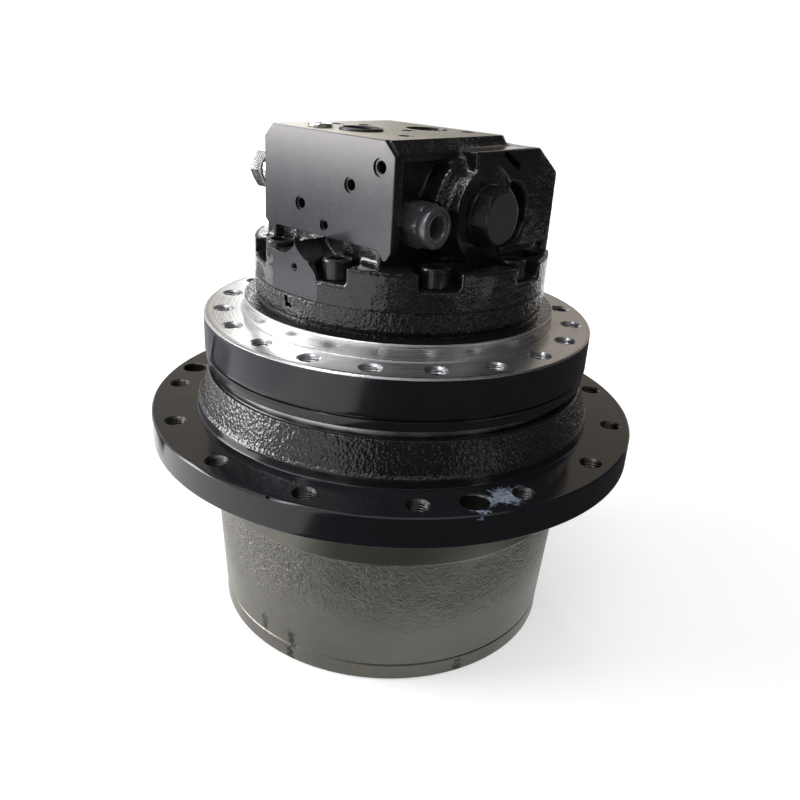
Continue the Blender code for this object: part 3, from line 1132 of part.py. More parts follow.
def build_port_block(frame):
    foot = [
        (0, Z_BLOCK + REAR_BEARING_WIDTH + FIT),
        (REAR_BEARING_RADIUS + FIT, Z_BLOCK + REAR_BEARING_WIDTH + FIT),
        (REAR_BEARING_RADIUS + FIT, Z_BLOCK),
        (NECK_RADIUS, Z_BLOCK),
        (NECK_RADIUS, Z_BLOCK + BLOCK_FOOT_HEIGHT - EDGE_CHAMFER),
        (NECK_RADIUS - EDGE_CHAMFER, Z_BLOCK + BLOCK_FOOT_HEIGHT),
        (0, Z_BLOCK + BLOCK_FOOT_HEIGHT),
    ]
    block = add("port_block", turned(foot), "gloss_black_paint", frame)
    shaped(block, spread(pocket, BLOCK_SCREWS, BLOCK_SCREW_CIRCLE, BLOCK_SCREW_TURN - BLOCK_TURN))
    waist = BLOCK_WAIST_HALF_WIDTH
    low = Z_BLOCK + BLOCK_FOOT_HEIGHT - REACH
    high = Z_BLOCK_TOP - BLOCK_SLAB_HEIGHT
    front = -BLOCK_HALF_LENGTH
    back = BLOCK_HALF_LENGTH
    body = [(-waist, low), (waist, low), (waist, high), (-waist, high)]
    shaped(block, lengthwise(body, front + REACH, back - REACH), "UNION")
    shaped(block, lengthwise(end_plate_outline(), front, front + BLOCK_END_PLATE), "UNION")
    slab_end = front + BLOCK_SLAB_LENGTH
    shaped(block, lengthwise(slab_outline(Z_BLOCK_TOP), front + REACH, slab_end), "UNION")
    rear = slab_outline(Z_BLOCK_TOP - BLOCK_REAR_DROP)
    shaped(block, lengthwise(rear, slab_end - REACH, back - LUMP_TOP_CORNER), "UNION")
    skirt = [(REACH - waist, low), (REACH - waist, Z_BLOCK + BLOCK_UNDERSIDE + REACH)]
    skirt += [(-BLOCK_HALF_WIDTH, z) for x, z in reversed(skirt)]
    shaped(block, lengthwise(skirt, front + REACH, front + BLOCK_SKIRT_LENGTH), "UNION")
    shaped(block, crosswise(lump_outline(), waist - REACH, LUMP_REACH), "UNION")
    valve_z = Z_BLOCK + VALVE_AXIS_RISE
    hollow = laid(cylinder(LUMP_POCKET_RADIUS, LUMP_REACH - LUMP_POCKET_DEPTH, LUMP_REACH + REACH), (1, 0, 0))
    shaped(block, moved(hollow, y=LUMP_POCKET_Y, z=valve_z - LUMP_POCKET_DROP))
    shaped(block, crosswise(lump_outline(), -LUMP_REACH, -waist + REACH), "UNION")
    reach = VALVE_BOSS_REACH
    boss = laid(cylinder(VALVE_BOSS_RADIUS, -reach, reach, BODY_SIDES), (1, 0, 0))
    shaped(block, moved(boss, y=VALVE_AXIS_Y, z=valve_z), "UNION")
    shaped(block, lengthwise(pad_outline(REACH, REACH), REACH - PAD_DISTANCE, PAD_DEPTH - PAD_DISTANCE), "UNION")

    bore = laid(cylinder(VALVE_BORE + FIT, -reach - REACH, reach + REACH), (1, 0, 0))
    shaped(block, moved(bore, y=VALVE_AXIS_Y, z=valve_z))

    def head_room():
        return cylinder(POCKET_RADIUS - FIT, Z_POCKET, Z_BLOCK + BLOCK_UNDERSIDE + 2 * REACH, HEAD_SIDES)

    shaped(block, spread(head_room, BLOCK_SCREWS, BLOCK_SCREW_CIRCLE, BLOCK_SCREW_TURN - BLOCK_TURN))

    def screw_hole():
        return cylinder(BLOCK_SCREW_RADIUS + FIT, Z_BLOCK - REACH, Z_POCKET + REACH, HEAD_SIDES)

    shaped(block, spread(screw_hole, BLOCK_SCREWS, BLOCK_SCREW_CIRCLE, BLOCK_SCREW_TURN - BLOCK_TURN))
    shaped(block, lengthwise(pad_outline(2 * REACH, 0), -PAD_DISTANCE - REACH, PAD_SKIN - PAD_DISTANCE), "UNION")
    milled = [(-BLOCK_HALF_WIDTH, Z_BLOCK - REACH), (BLOCK_HALF_WIDTH, Z_BLOCK - REACH)]
    milled += [(x, Z_BLOCK_TOP) for x, z in reversed(milled)]
    shaped(block, lengthwise(milled, -NECK_RADIUS - REACH, -PAD_DISTANCE))
    shaped(block, port_cutters())
    shaped(block, side_cutters())


def port_cutters():
    cutters = []
    for places, radius, depth, sides in (
        (MAIN_PORTS, MAIN_PORT_RADIUS, MAIN_PORT_DEPTH, SHAFT_SIDES),
        (SMALL_PORTS, SMALL_PORT_RADIUS, SMALL_PORT_DEPTH, HOLE_SIDES),
        (((TOP_PLUG_X, TOP_PLUG_Y),), TOP_PLUG_SHANK_RADIUS + FIT, TOP_PLUG_SHANK + 2 * FIT, HEAD_SIDES),
    ):
        for x, y in places:
            cutters.append(moved(cylinder(radius, Z_BLOCK_TOP - depth, Z_BLOCK_TOP + REACH, sides), x, y))
    return together(cutters)


def side_cutters():
    waist = BLOCK_WAIST_HALF_WIDTH
    drain = laid(cylinder(DRAIN_SHANK_RADIUS + FIT, waist - DRAIN_SHANK, waist + REACH), (1, 0, 0))
    relief = laid(cylinder(RELIEF_SHANK_RADIUS + FIT, waist - RELIEF_SHANK, waist + REACH), (-1, 0, 0))
    cutters = [
        moved(drain, y=DRAIN_AXIS_Y, z=Z_BLOCK + DRAIN_AXIS_RISE),
        moved(relief, y=RELIEF_AXIS_Y, z=Z_BLOCK + RELIEF_AXIS_RISE),
    ]
    face = -BLOCK_HALF_LENGTH
    for x, rise, radius in GAUGE_PORTS:
        gauge = laid(cylinder(radius, -GAUGE_PORT_DEPTH, REACH, HEAD_SIDES), (0, -1, 0))
        cutters.append(moved(gauge, x, face, Z_BLOCK + rise))
    tapping = laid(cylinder(PAD_HOLE_RADIUS, -GAUGE_PORT_DEPTH, REACH, HOLE_SIDES), (0, -1, 0))
    cutters.append(moved(tapping, 0, -PAD_DISTANCE, Z_BLOCK + PAD_HOLE_RISE))
    return together(cutters)


def build_block_screws(fixed):
    for number in range(1, BLOCK_SCREWS + 1):
        grip = POCKET_FLOOR + BLOCK_SCREW_GRIP
        blank, socket = screw(BLOCK_SCREW_RADIUS, grip, BLOCK_SCREW_HEAD_RADIUS, BLOCK_SCREW_HEAD_HEIGHT)
        place = BLOCK_SCREW_TURN + 360 * (number - 1) / BLOCK_SCREWS - 90
        spot = (*polar(BLOCK_SCREW_CIRCLE, place), Z_POCKET + FIT)
        piece = add(f"port_block_screw_{number}", blank, "black_oxide", fixed, spot)
        shaped(piece, socket)
        piece.rotation_euler = (0, 0, math.radians(place))


def build_counterbalance_valve(frame):
    axis = (VALVE_AXIS_Y, Z_BLOCK + VALVE_AXIS_RISE)
    land = VALVE_BORE - FIT
    half = VALVE_SPOOL_HALF_LENGTH
    section = [
        (0, -half),
        (land, -half),
        (land, -half * 0.55),
        (VALVE_SPOOL_NECK, -half * 0.5),
        (VALVE_SPOOL_NECK, -half * 0.25),
        (land, -half * 0.2),
        (land, half * 0.2),
        (VALVE_SPOOL_NECK, half * 0.25),
        (VALVE_SPOOL_NECK, half * 0.5),
        (land, half * 0.55),
        (land, half),
        (0, half),
    ]
    spool = laid(turned(section, HEAD_SIDES), (1, 0, 0))
    add("counterbalance_spool", spool, "machined_steel", frame, (0, *axis))
    for name, side in (("counterbalance_plug", 1), ("counterbalance_back_plug", -1)):
        seat = VALVE_BOSS_REACH + FIT
        head = chamfered_hexagon(VALVE_PLUG_ACROSS_FLATS, seat, seat + VALVE_PLUG_HEAD)
        plug = add(name, laid(head, (side, 0, 0)), "black_oxide", frame, (0, *axis))
        shank = cylinder(VALVE_BORE, seat - VALVE_PLUG_DEPTH, seat + REACH)
        shaped(plug, laid(shank, (side, 0, 0)), "UNION")


# A hexagon whose outer end is turned down to a cone between its corners and its flats
def chamfered_hexagon(across_flats, low, high):
    flat = across_flats / 2
    corner = across_flats / math.sqrt(3)
    drop = (corner - flat) * 0.6
    shape = bmesh.new()
    rings = []
    for radii, height in (((corner, corner), low), ((corner, flat / math.cos(math.radians(15))), None), ((flat, flat), high)):
        points = []
        for step in range(12):
            radius = radii[step % 2] if height is None else radii[0]
            if height == low and step % 2:
                radius = flat
            level = high - drop if height is None else height
            if height is None and step % 2:
                radius = flat
                level = high
            x, y = polar(radius, 90 + 30 * step)
            points.append(shape.verts.new((x * MM, y * MM, level * MM)))
        rings.append(points)
    for lower, upper in zip(rings, rings[1:]):
        for step in range(12):
            onward = (step + 1) % 12
            shape.faces.new((lower[step], lower[onward], upper[onward], upper[step]))
    shape.faces.new(rings[0])
    shape.faces.new(rings[-1])
    return finish_mesh(shape)


def build_side_fittings(frame):
    waist = BLOCK_WAIST_HALF_WIDTH + FIT
    drain_place = (0, DRAIN_AXIS_Y, Z_BLOCK + DRAIN_AXIS_RISE)
    hexagon_end = waist + DRAIN_HEX
    collar_end = hexagon_end + DRAIN_COLLAR
    body = prism(hexagon(DRAIN_ACROSS_FLATS, 90), waist, hexagon_end)
    fitting = add("drain_fitting", laid(body, (1, 0, 0)), "dark_plating", frame, drain_place)
    collar = [
        (0, waist - DRAIN_SHANK + FIT),
        (DRAIN_SHANK_RADIUS, waist - DRAIN_SHANK + FIT),
        (DRAIN_SHANK_RADIUS, hexagon_end - REACH),
        (DRAIN_COLLAR_RADIUS - EDGE_CHAMFER, hexagon_end - REACH),
        (DRAIN_COLLAR_RADIUS, hexagon_end + EDGE_CHAMFER),
        (DRAIN_COLLAR_RADIUS, collar_end - EDGE_CHAMFER),
        (DRAIN_COLLAR_RADIUS - EDGE_CHAMFER, collar_end),
        (0, collar_end),
    ]
    shaped(fitting, laid(turned(collar, SHAFT_SIDES), (1, 0, 0)), "UNION")
    bore = cylinder(DRAIN_BORE, waist - DRAIN_SHANK - REACH, collar_end + REACH, HEAD_SIDES)
    shaped(fitting, laid(bore, (1, 0, 0)))

    relief_place = (0, RELIEF_AXIS_Y, Z_BLOCK + RELIEF_AXIS_RISE)
    collar_top = waist + RELIEF_COLLAR
    head = chamfered_hexagon(RELIEF_ACROSS_FLATS, collar_top, collar_top + RELIEF_HEAD)
    relief = add("relief_valve_plug", laid(head, (-1, 0, 0)), "zinc_plating", frame, relief_place)
    shank = [
        (0, waist - RELIEF_SHANK + FIT),
        (RELIEF_SHANK_RADIUS, waist - RELIEF_SHANK + FIT),
        (RELIEF_SHANK_RADIUS, waist),
        (RELIEF_RADIUS, waist),
        (RELIEF_RADIUS, collar_top + REACH),
        (0, collar_top + REACH),
    ]
    shaped(relief, laid(turned(shank, HEAD_SIDES), (-1, 0, 0)), "UNION")

    top_place = (TOP_PLUG_X, TOP_PLUG_Y, Z_BLOCK_TOP + FIT)
    blank, socket = screw(TOP_PLUG_SHANK_RADIUS, TOP_PLUG_SHANK, TOP_PLUG_RADIUS, TOP_PLUG_HEAD)
    top_plug = add("top_port_plug", blank, "zinc_plating", frame, top_place)
    shaped(top_plug, socket)


def main():
    for thing in list(bpy.data.objects):
        bpy.data.objects.remove(thing)
    fixed = holder("fixed_side")
    turning = holder("turning_housing")
    cages = [holder("lower_ball_cage"), holder("upper_ball_cage")]
    output_stage = holder("output_stage")
    input_stage = holder("input_stage")
    shaft_line = holder("shaft_line")
    block_frame = holder("port_block_frame", fixed, turn=BLOCK_TURN)

    build_motor_case(fixed)
    build_seals(fixed, turning)
    build_output_carrier(fixed)
    build_output_pins(fixed)
    build_main_bearings(fixed, turning, cages)
    build_bearing_nut(fixed)

    build_hub(turning)
    build_gear_drum(turning)
    build_end_cover(turning)
    build_cover_plugs(turning)
    build_drum_screws(turning)

    build_planets(
        "output", OUTPUT_PLANET_TEETH, OUTPUT_ORBIT, OUTPUT_PIN_RADIUS, Z_OUTPUT_GEARS, OUTPUT_FACE, output_stage
    )
    build_planets("input", INPUT_PLANET_TEETH, INPUT_ORBIT, INPUT_PIN_RADIUS, Z_INPUT_GEARS, INPUT_FACE, input_stage)
    build_input_carrier(input_stage)
    build_output_sun(input_stage)
    build_input_sun(shaft_line)

    build_motor_shaft(shaft_line)
    build_shaft_bearings(fixed)
    build_cylinder_block(shaft_line)
    build_swash_plate(fixed)
    build_valve_plate(fixed)
    build_brake(fixed, shaft_line)

    build_port_block(block_frame)
    build_block_screws(fixed)
    build_counterbalance_valve(block_frame)
    build_side_fittings(block_frame)


main()
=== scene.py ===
import math

import bmesh
import bpy
from mathutils import Matrix, Vector, noise


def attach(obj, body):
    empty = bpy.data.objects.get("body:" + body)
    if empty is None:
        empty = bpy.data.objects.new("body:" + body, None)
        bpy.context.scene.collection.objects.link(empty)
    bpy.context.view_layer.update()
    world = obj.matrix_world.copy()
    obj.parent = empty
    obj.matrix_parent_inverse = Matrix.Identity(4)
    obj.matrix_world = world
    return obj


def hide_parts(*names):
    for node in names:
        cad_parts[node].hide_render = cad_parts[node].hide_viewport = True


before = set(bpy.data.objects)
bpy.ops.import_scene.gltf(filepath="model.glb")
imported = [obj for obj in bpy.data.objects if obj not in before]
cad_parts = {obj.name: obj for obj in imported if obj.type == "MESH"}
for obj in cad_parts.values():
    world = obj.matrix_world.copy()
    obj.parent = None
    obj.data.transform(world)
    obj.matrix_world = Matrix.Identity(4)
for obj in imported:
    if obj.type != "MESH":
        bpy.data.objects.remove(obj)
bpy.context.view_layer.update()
mm = 0.001
print("loaded the packed drive:", len(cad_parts), "nodes")

# The port block sits turned on the motor case. Its own X runs to the plug side and its -Y to the milled end.
blockTurn = 40.5
blockSpace = Matrix.Rotation(math.radians(-blockTurn), 4, "Z")

# screw circles that several pieces share
blockScrews = {"radius": 100.0, "count": 9, "first": 14.5}
drumScrews = {"radius": 131.2, "count": 6}


# shapes are drawn in millimetres and go into metres when a piece is made
def circle(radius, height, sides):
    return [
        (radius * math.cos(math.tau * side / sides), radius * math.sin(math.tau * side / sides), height)
        for side in range(sides)
    ]


# joins rings of points that have the same count
def loft(rings, closedWay=False):
    count = len(rings[0])
    corners = [point for ring in rings for point in ring]
    faces = []
    for way in range(len(rings) if closedWay else len(rings) - 1):
        low = way * count
        high = (way + 1) % len(rings) * count
        for step in range(count):
            onward = (step + 1) % count
            faces.append((low + step, low + onward, high + onward, high + step))
    if not closedWay:
        faces.append(tuple(range(count)))
        faces.append(tuple(range(len(corners) - count, len(corners))))
    return corners, faces


# rounds each corner (across, up, softness) of an outline by its softness
def softened(points, closed=True, steps=4):
    outline = []
    for index, (across, up, softness) in enumerate(points):
        here = Vector((across, up))
        if softness <= 0 or (not closed and index in (0, len(points) - 1)):
            outline.append((across, up))
            continue
        before = Vector(points[index - 1][:2])
        after = Vector(points[(index + 1) % len(points)][:2])
        inward = here - before
        outward = after - here
        reach = softness * math.tan(inward.angle(outward) / 2)
        reach = min(reach, inward.length * 0.48, outward.length * 0.48)
        start = here - inward.normalized() * reach
        end = here + outward.normalized() * reach
        for step in range(steps + 1):
            share = step / steps
            spot = start * (1 - share) ** 2 + here * 2 * share * (1 - share) + end * share**2
            outline.append((spot.x, spot.y))
    return outline


# splits the long runs of an outline, so that cast faces have points to move
def divided(outline, longest, closed=True):
    finer = []
    for index, point in enumerate(outline):
        finer.append(point)
        if index == len(outline) - 1 and not closed:
            break
        onward = outline[(index + 1) % len(outline)]
        parts = max(1, math.ceil(math.dist(point, onward) / longest))
        for part in range(1, parts):
            share = part / parts
            finer.append((point[0] + (onward[0] - point[0]) * share, point[1] + (onward[1] - point[1]) * share))
    return finer


# rings round the axis at each (radius, height)
def ringsOf(outline, sides=96):
    return [circle(radius, height, sides) for radius, height in outline]


def turned(outline, sides, closedWay=True):
    return loft(ringsOf(outline, sides), closedWay)


# an outline of (x, y) points raised from one height to another
def raised(outline, low, high):
    return loft([[(x, y, low) for x, y in outline], [(x, y, high) for x, y in outline]])


def boxShape(low, high):
    outline = [(low[0], low[1]), (high[0], low[1]), (high[0], high[1]), (low[0], high[1])]
    return raised(outline, low[2], high[2])


def movedShape(shape, place):
    corners, faces = shape
    return [tuple(place @ Vector(corner)) for corner in corners], faces


def shift(x=0.0, y=0.0, z=0.0):
    return Matrix.Translation((x, y, z))


def turnAbout(degrees, axis="Z"):
    return Matrix.Rotation(math.radians(degrees), 4, axis)


# places are counted in degrees from the front (-Y) towards +X
def placeOnCircle(radius, place, height=0.0):
    return turnAbout(place - 90) @ shift(radius, 0, height)


# the same shape at equal steps round a circle
def spread(shape, radius, count, first=0.0, height=0.0):
    return [movedShape(shape, placeOnCircle(radius, first + 360 * step / count, height)) for step in range(count)]


alongX = turnAbout(90, "Y")
alongMinusX = turnAbout(-90, "Y")
alongMinusY = turnAbout(90, "X")


def pieceFrom(name, shapes, place=None):
    corners, faces = [], []
    for shapeCorners, shapeFaces in shapes:
        offset = len(corners)
        corners += shapeCorners
        faces += [tuple(offset + index for index in face) for face in shapeFaces]
    mesh = bpy.data.meshes.new(name)
    mesh.from_pydata([Vector(corner) * mm for corner in corners], [], faces)
    tidy = bmesh.new()
    tidy.from_mesh(mesh)
    bmesh.ops.recalc_face_normals(tidy, faces=tidy.faces[:])
    if place:
        bmesh.ops.transform(tidy, matrix=place, verts=tidy.verts[:])
    tidy.to_mesh(mesh)
    tidy.free()
    piece = bpy.data.objects.new(name, mesh)
    bpy.context.scene.collection.objects.link(piece)
    return piece


# the mesh takes on what the modifiers made
def settled(piece):
    bpy.context.view_layer.update()
    graph = bpy.context.evaluated_depsgraph_get()
    mesh = bpy.data.meshes.new_from_object(piece.evaluated_get(graph))
    piece.modifiers.clear()
    old = piece.data
    piece.data = mesh
    bpy.data.meshes.remove(old)
    return piece


def bevelled(piece, width, leastAngle):
    edges = piece.modifiers.new("edges", "BEVEL")
    edges.width = width * mm
    edges.segments = 2
    edges.limit_method = "ANGLE"
    edges.angle_limit = math.radians(leastAngle)
    return settled(piece)


def cutWith(piece, tools, operation="DIFFERENCE"):
    for tool in tools:
        step = piece.modifiers.new("cut", "BOOLEAN")
        step.operation = operation
        step.solver = "MANIFOLD"
        step.object = tool
    settled(piece)
    for tool in tools:
        bpy.data.objects.remove(tool)
    return piece


# cutter of a tapped hole: its mouth is at height 0 and it goes down
def tappedTool(mouth, major, minor, pitch, depth, sides=36, through=False):
    rings = [circle(mouth + 1.0, 1.0, sides), circle(minor, minor - mouth, sides)]
    levels = int((depth - 1.5) / pitch * 4)
    for level in range(1, levels):
        height = minor - mouth - level * pitch / 4
        ring = []
        for side in range(sides):
            phase = (height / pitch + side / sides) % 1
            radius = minor + (major - minor) * (1 - abs(2 * phase - 1)) ** 1.3
            ring.append((*circle(radius, height, sides)[side][:2], height))
        rings.append(ring)
    if through:
        rings.append(circle(minor, -depth + mouth - minor, sides))
        rings.append(circle(mouth + 1.0, -depth - 1.0, sides))
    else:
        rings.append(circle(minor * 0.96, -depth, sides))
        rings.append(circle(0.6, -depth - minor * 0.6, sides))
    return loft(rings)


def hexagonRing(acrossFlats, height, sides, most=1e9):
    ring = []
    for side in range(sides):
        angle = math.tau * side / sides
        fromFlat = (angle % (math.pi / 3)) - math.pi / 6
        radius = min(most, acrossFlats / 2 / math.cos(fromFlat))
        ring.append((radius * math.cos(angle), radius * math.sin(angle), height))
    return ring


# hexagon head with its corners turned down at the outer end, drawn upwards
def hexagonHead(acrossFlats, low, high, sides=96):
    corner = acrossFlats / math.sqrt(3)
    face = acrossFlats * 0.47
    rings = [hexagonRing(acrossFlats - 0.6, low, sides), hexagonRing(acrossFlats, low + 0.4, sides)]
    for step in range(7):
        share = step / 6
        most = corner + 0.1 + (face - corner) * share
        rings.append(hexagonRing(acrossFlats, high - (corner - face) * 0.5 * (1 - share), sides, most))
    return rings + ringsOf([(face - 0.5, high), (face - 1.2, high)], sides)


# socket head cap screw, head up, the underside of its head at height 0
def capScrew(shankRadius, grip, headRadius, headHeight, socketFlats, knurls, sides=120):
    knurlDepth = 0.022  # as a share of the head's radius
    wave = [1 - knurlDepth * (0.5 + 0.5 * math.cos(math.tau * knurls * side / sides)) for side in range(sides)]
    rings = ringsOf([(shankRadius - 1, -grip), (shankRadius, -grip + 1), (shankRadius, -0.2)], sides)
    rings.append(circle(headRadius - 0.4, 0, sides))
    for level, knurled in ((0.4, False), (1.2, True), (headHeight - 3.0, True), (headHeight - 2.4, False)):
        ring = circle(headRadius, level, sides)
        if knurled:
            ring = [(x * deep, y * deep, z) for (x, y, z), deep in zip(ring, wave)]
        rings.append(ring)
    rings += ringsOf([(headRadius, headHeight - 1.1), (headRadius - 0.35, headHeight - 0.4),
                      (headRadius - 1.1, headHeight), (socketFlats / math.sqrt(3) + 0.5, headHeight)], sides)
    rings.append(hexagonRing(socketFlats, headHeight - 0.7, sides))
    rings.append(hexagonRing(socketFlats, headHeight * 0.42, sides))
    rings.append(circle(1.0, headHeight * 0.3, sides))
    return loft(rings)


# moves points along their normals by cast unevenness where the region allows it
def castSurface(piece, size, depth, region, fine=0.35):
    mesh = piece.data
    normals = [vertex.normal.copy() for vertex in mesh.vertices]
    for vertex, normal in zip(mesh.vertices, normals):
        share = region(vertex.co / mm, normal)
        if share <= 0:
            continue
        coarse = noise.noise(vertex.co / (size * mm))
        finer = noise.noise(vertex.co / (size * 0.37 * mm) + Vector((7, 3, 1)))
        vertex.co += normal * (coarse * (1 - fine) + finer * fine) * depth * share * mm
    mesh.update()


def nodeOf(finish, kind, inputs=None, **settings):
    made = finish.node_tree.nodes.new("ShaderNode" + kind)
    for key, value in settings.items():
        setattr(made, key, value)
    for key, value in (inputs or {}).items():
        if isinstance(value, bpy.types.NodeSocket):
            finish.node_tree.links.new(value, made.inputs[key])
        else:
            made.inputs[key].default_value = value
    return made


def grainOf(finish, coords, scale, detail=3.0, roughness=0.55, distortion=0.0):
    inputs = {"Vector": coords, "Scale": scale, "Detail": detail, "Roughness": roughness, "Distortion": distortion}
    return nodeOf(finish, "TexNoise", inputs).outputs[0]


def cellsOf(finish, coords, scale, smoothness=0.6):
    inputs = {"Vector": coords, "Scale": scale, "Smoothness": smoothness}
    return nodeOf(finish, "TexVoronoi", inputs, feature="SMOOTH_F1").outputs[0]


def rangeOf(finish, value, low, high, toLow, toHigh, smooth=False):
    inputs = {"Value": value, "From Min": low, "From Max": high, "To Min": toLow, "To Max": toHigh}
    kind = "SMOOTHSTEP" if smooth else "LINEAR"
    return nodeOf(finish, "MapRange", inputs, interpolation_type=kind).outputs[0]


def mathOf(finish, operation, first, second):
    return nodeOf(finish, "Math", {0: first, 1: second}, operation=operation).outputs[0]


def colourMix(finish, share, first, second):
    made = nodeOf(finish, "Mix", data_type="RGBA")
    for key, value in ((0, share), (6, first), (7, second)):
        if isinstance(value, bpy.types.NodeSocket):
            finish.node_tree.links.new(value, made.inputs[key])
        else:
            made.inputs[key].default_value = value if key == 0 else (*value, 1)
    return made.outputs[2]


def reliefOf(finish, height, distance, before=None):
    inputs = {"Height": height, "Distance": distance * mm, "Strength": 1.0}
    if before:
        inputs["Normal"] = before
    return nodeOf(finish, "Bump", inputs).outputs[0]


# object coordinates, turned and stretched when asked
def coordsOf(finish, turn=0.0, stretch=(1, 1, 1)):
    plain = nodeOf(finish, "TexCoord").outputs["Object"]
    inputs = {"Vector": plain, "Rotation": (0, 0, math.radians(turn)), "Scale": stretch}
    return nodeOf(finish, "Mapping", inputs).outputs[0]


# 1 at a spot and 0 beyond its radius, both in millimetres
def spotOf(finish, coords, centre, radius, ragged=None):
    spot = Vector(centre) * mm
    distance = nodeOf(finish, "VectorMath", {0: coords, 1: spot}, operation="DISTANCE").outputs["Value"]
    if ragged:
        distance = mathOf(finish, "ADD", distance, ragged)
    return rangeOf(finish, distance, radius * 0.45 * mm, radius * mm, 1.0, 0.0, True)


def newFinish(name, colour, roughness, metallic, specular=0.5):
    finish = bpy.data.materials.new(name)
    finish.use_nodes = True
    shader = finish.node_tree.nodes["Principled BSDF"]
    shader.inputs["Base Color"].default_value = (*colour, 1)
    shader.inputs["Roughness"].default_value = roughness
    shader.inputs["Metallic"].default_value = metallic
    shader.inputs["Specular IOR Level"].default_value = specular
    return finish, shader


def link(finish, source, shader, socket):
    finish.node_tree.links.new(source, shader.inputs[socket])


# gloss black over turned faces: nearly flat, with faint flow marks
def glossPaint(settings):
    finish, shader = newFinish("glossBlackPaint", settings["colour"], 0.16, 0.0, settings["specular"])
    coords = coordsOf(finish)
    cloud = grainOf(finish, coords, 38, 4)
    dust = grainOf(finish, coords, 900, 2)
    colour = colourMix(finish, cloud, settings["colour"], settings["paler"])
    smearEdge = rangeOf(finish, grainOf(finish, coords, 160, 4, 0.7), 0, 1, -0.011, 0.011)
    smear = None
    for centre, radius in settings["smear"]:
        spot = spotOf(finish, coords, centre, radius, smearEdge)
        smear = spot if smear is None else mathOf(finish, "MAXIMUM", smear, spot)
    streaks = grainOf(finish, coordsOf(finish, -32, (1, 4, 1)), 260, 5, 0.75, 0.6)
    smear = mathOf(finish, "MULTIPLY", smear, rangeOf(finish, streaks, 0.38, 0.62, 0.0, 1.0))
    colour = colourMix(finish, smear, colour, settings["grease"])
    link(finish, colour, shader, "Base Color")
    gloss = rangeOf(finish, cloud, 0.3, 0.7, *settings["roughness"])
    gloss = mathOf(finish, "ADD", gloss, mathOf(finish, "MULTIPLY", smear, 0.25))
    link(finish, gloss, shader, "Roughness")
    flow = reliefOf(finish, grainOf(finish, coords, 150, 2), 0.03)
    flow = reliefOf(finish, dust, 0.012, flow)
    flow = reliefOf(finish, mathOf(finish, "MULTIPLY", smear, streaks), 0.5, flow)
    link(finish, flow, shader, "Normal")
    return finish


# the same paint over rough sand casting
def glossCasting(name, settings):
    finish, shader = newFinish(name, settings["colour"], 0.2, 0.0, settings["specular"])
    coords = coordsOf(finish)
    worms = grainOf(finish, coords, settings["wormScale"], 1.5, 0.4, 0.25)
    cells = cellsOf(finish, coords, settings["cellScale"])
    grit = grainOf(finish, coords, 1500, 2)
    cloud = grainOf(finish, coords, 30, 3)
    colour = colourMix(finish, rangeOf(finish, cells, 0.1, 0.7, 0, 1), settings["paler"], settings["colour"])
    link(finish, colour, shader, "Base Color")
    link(finish, rangeOf(finish, cloud, 0.3, 0.7, *settings["roughness"]), shader, "Roughness")
    patchy = rangeOf(finish, grainOf(finish, coords, 22, 2), 0.35, 0.65, settings["quiet"], 1.0, True)
    relief = reliefOf(finish, mathOf(finish, "MULTIPLY", worms, patchy), settings["wormDepth"])
    relief = reliefOf(finish, mathOf(finish, "MULTIPLY", cells, patchy), settings["cellDepth"], relief)
    relief = reliefOf(finish, grit, settings["gritDepth"], relief)
    link(finish, relief, shader, "Normal")
    return finish


# thin black over a milled face: satin, with straight cutter marks
def milledFace(name, settings, turn):
    finish, shader = newFinish(name, settings["colour"], 0.4, settings["metallic"])
    plain = coordsOf(finish, turn)
    drawn = coordsOf(finish, turn, settings["stretch"])
    lines = grainOf(finish, drawn, 900, 4, 0.6)
    patches = grainOf(finish, plain, 24, 3)
    grain = grainOf(finish, plain, 1700, 2, 0.7)
    colour = colourMix(finish, rangeOf(finish, patches, 0.3, 0.7, 0, 1), settings["colour"], settings["paler"])
    colour = colourMix(finish, rangeOf(finish, lines, 0.58, 0.72, 0, 0.3), colour, settings["scratch"])
    link(finish, colour, shader, "Base Color")
    link(finish, rangeOf(finish, lines, 0.3, 0.7, *settings["roughness"]), shader, "Roughness")
    relief = reliefOf(finish, lines, settings["lineDepth"])
    relief = reliefOf(finish, grain, settings["grainDepth"], relief)
    link(finish, relief, shader, "Normal")
    return finish


# bare steel off the lathe: fine rings round the shaft
def turnedSteel(name, settings):
    finish, shader = newFinish(name, settings["colour"], 0.3, 1.0)
    plain = nodeOf(finish, "TexCoord").outputs["Object"]
    flat = nodeOf(finish, "VectorMath", {0: plain, 1: (1, 1, 0)}, operation="MULTIPLY").outputs["Vector"]
    radius = nodeOf(finish, "VectorMath", {0: flat}, operation="LENGTH").outputs["Value"]
    height = nodeOf(finish, "SeparateXYZ", {0: plain}).outputs[2]
    along = mathOf(finish, "ADD", radius, height)
    rings = nodeOf(finish, "TexNoise", {"W": along, "Scale": 1100.0, "Detail": 5.0}, noise_dimensions="1D").outputs[0]
    stains = grainOf(finish, plain, 26, 4, 0.6)
    colour = colourMix(finish, rangeOf(finish, rings, 0.35, 0.65, 0, 1), settings["colour"], settings["paler"])
    colour = colourMix(finish, rangeOf(finish, stains, 0.55, 0.75, 0, 0.5), colour, settings["stain"])
    link(finish, colour, shader, "Base Color")
    rough = mathOf(finish, "ADD", rangeOf(finish, rings, 0.3, 0.7, *settings["roughness"]),
                   rangeOf(finish, stains, 0.5, 0.75, 0.0, 0.1))
    link(finish, rough, shader, "Roughness")
    shader.inputs["Anisotropic"].default_value = settings["anisotropic"]
    tangent = nodeOf(finish, "Tangent", direction_type="RADIAL", axis="Z").outputs[0]
    link(finish, tangent, shader, "Tangent")
    link(finish, reliefOf(finish, rings, settings["ringDepth"]), shader, "Normal")
    return finish


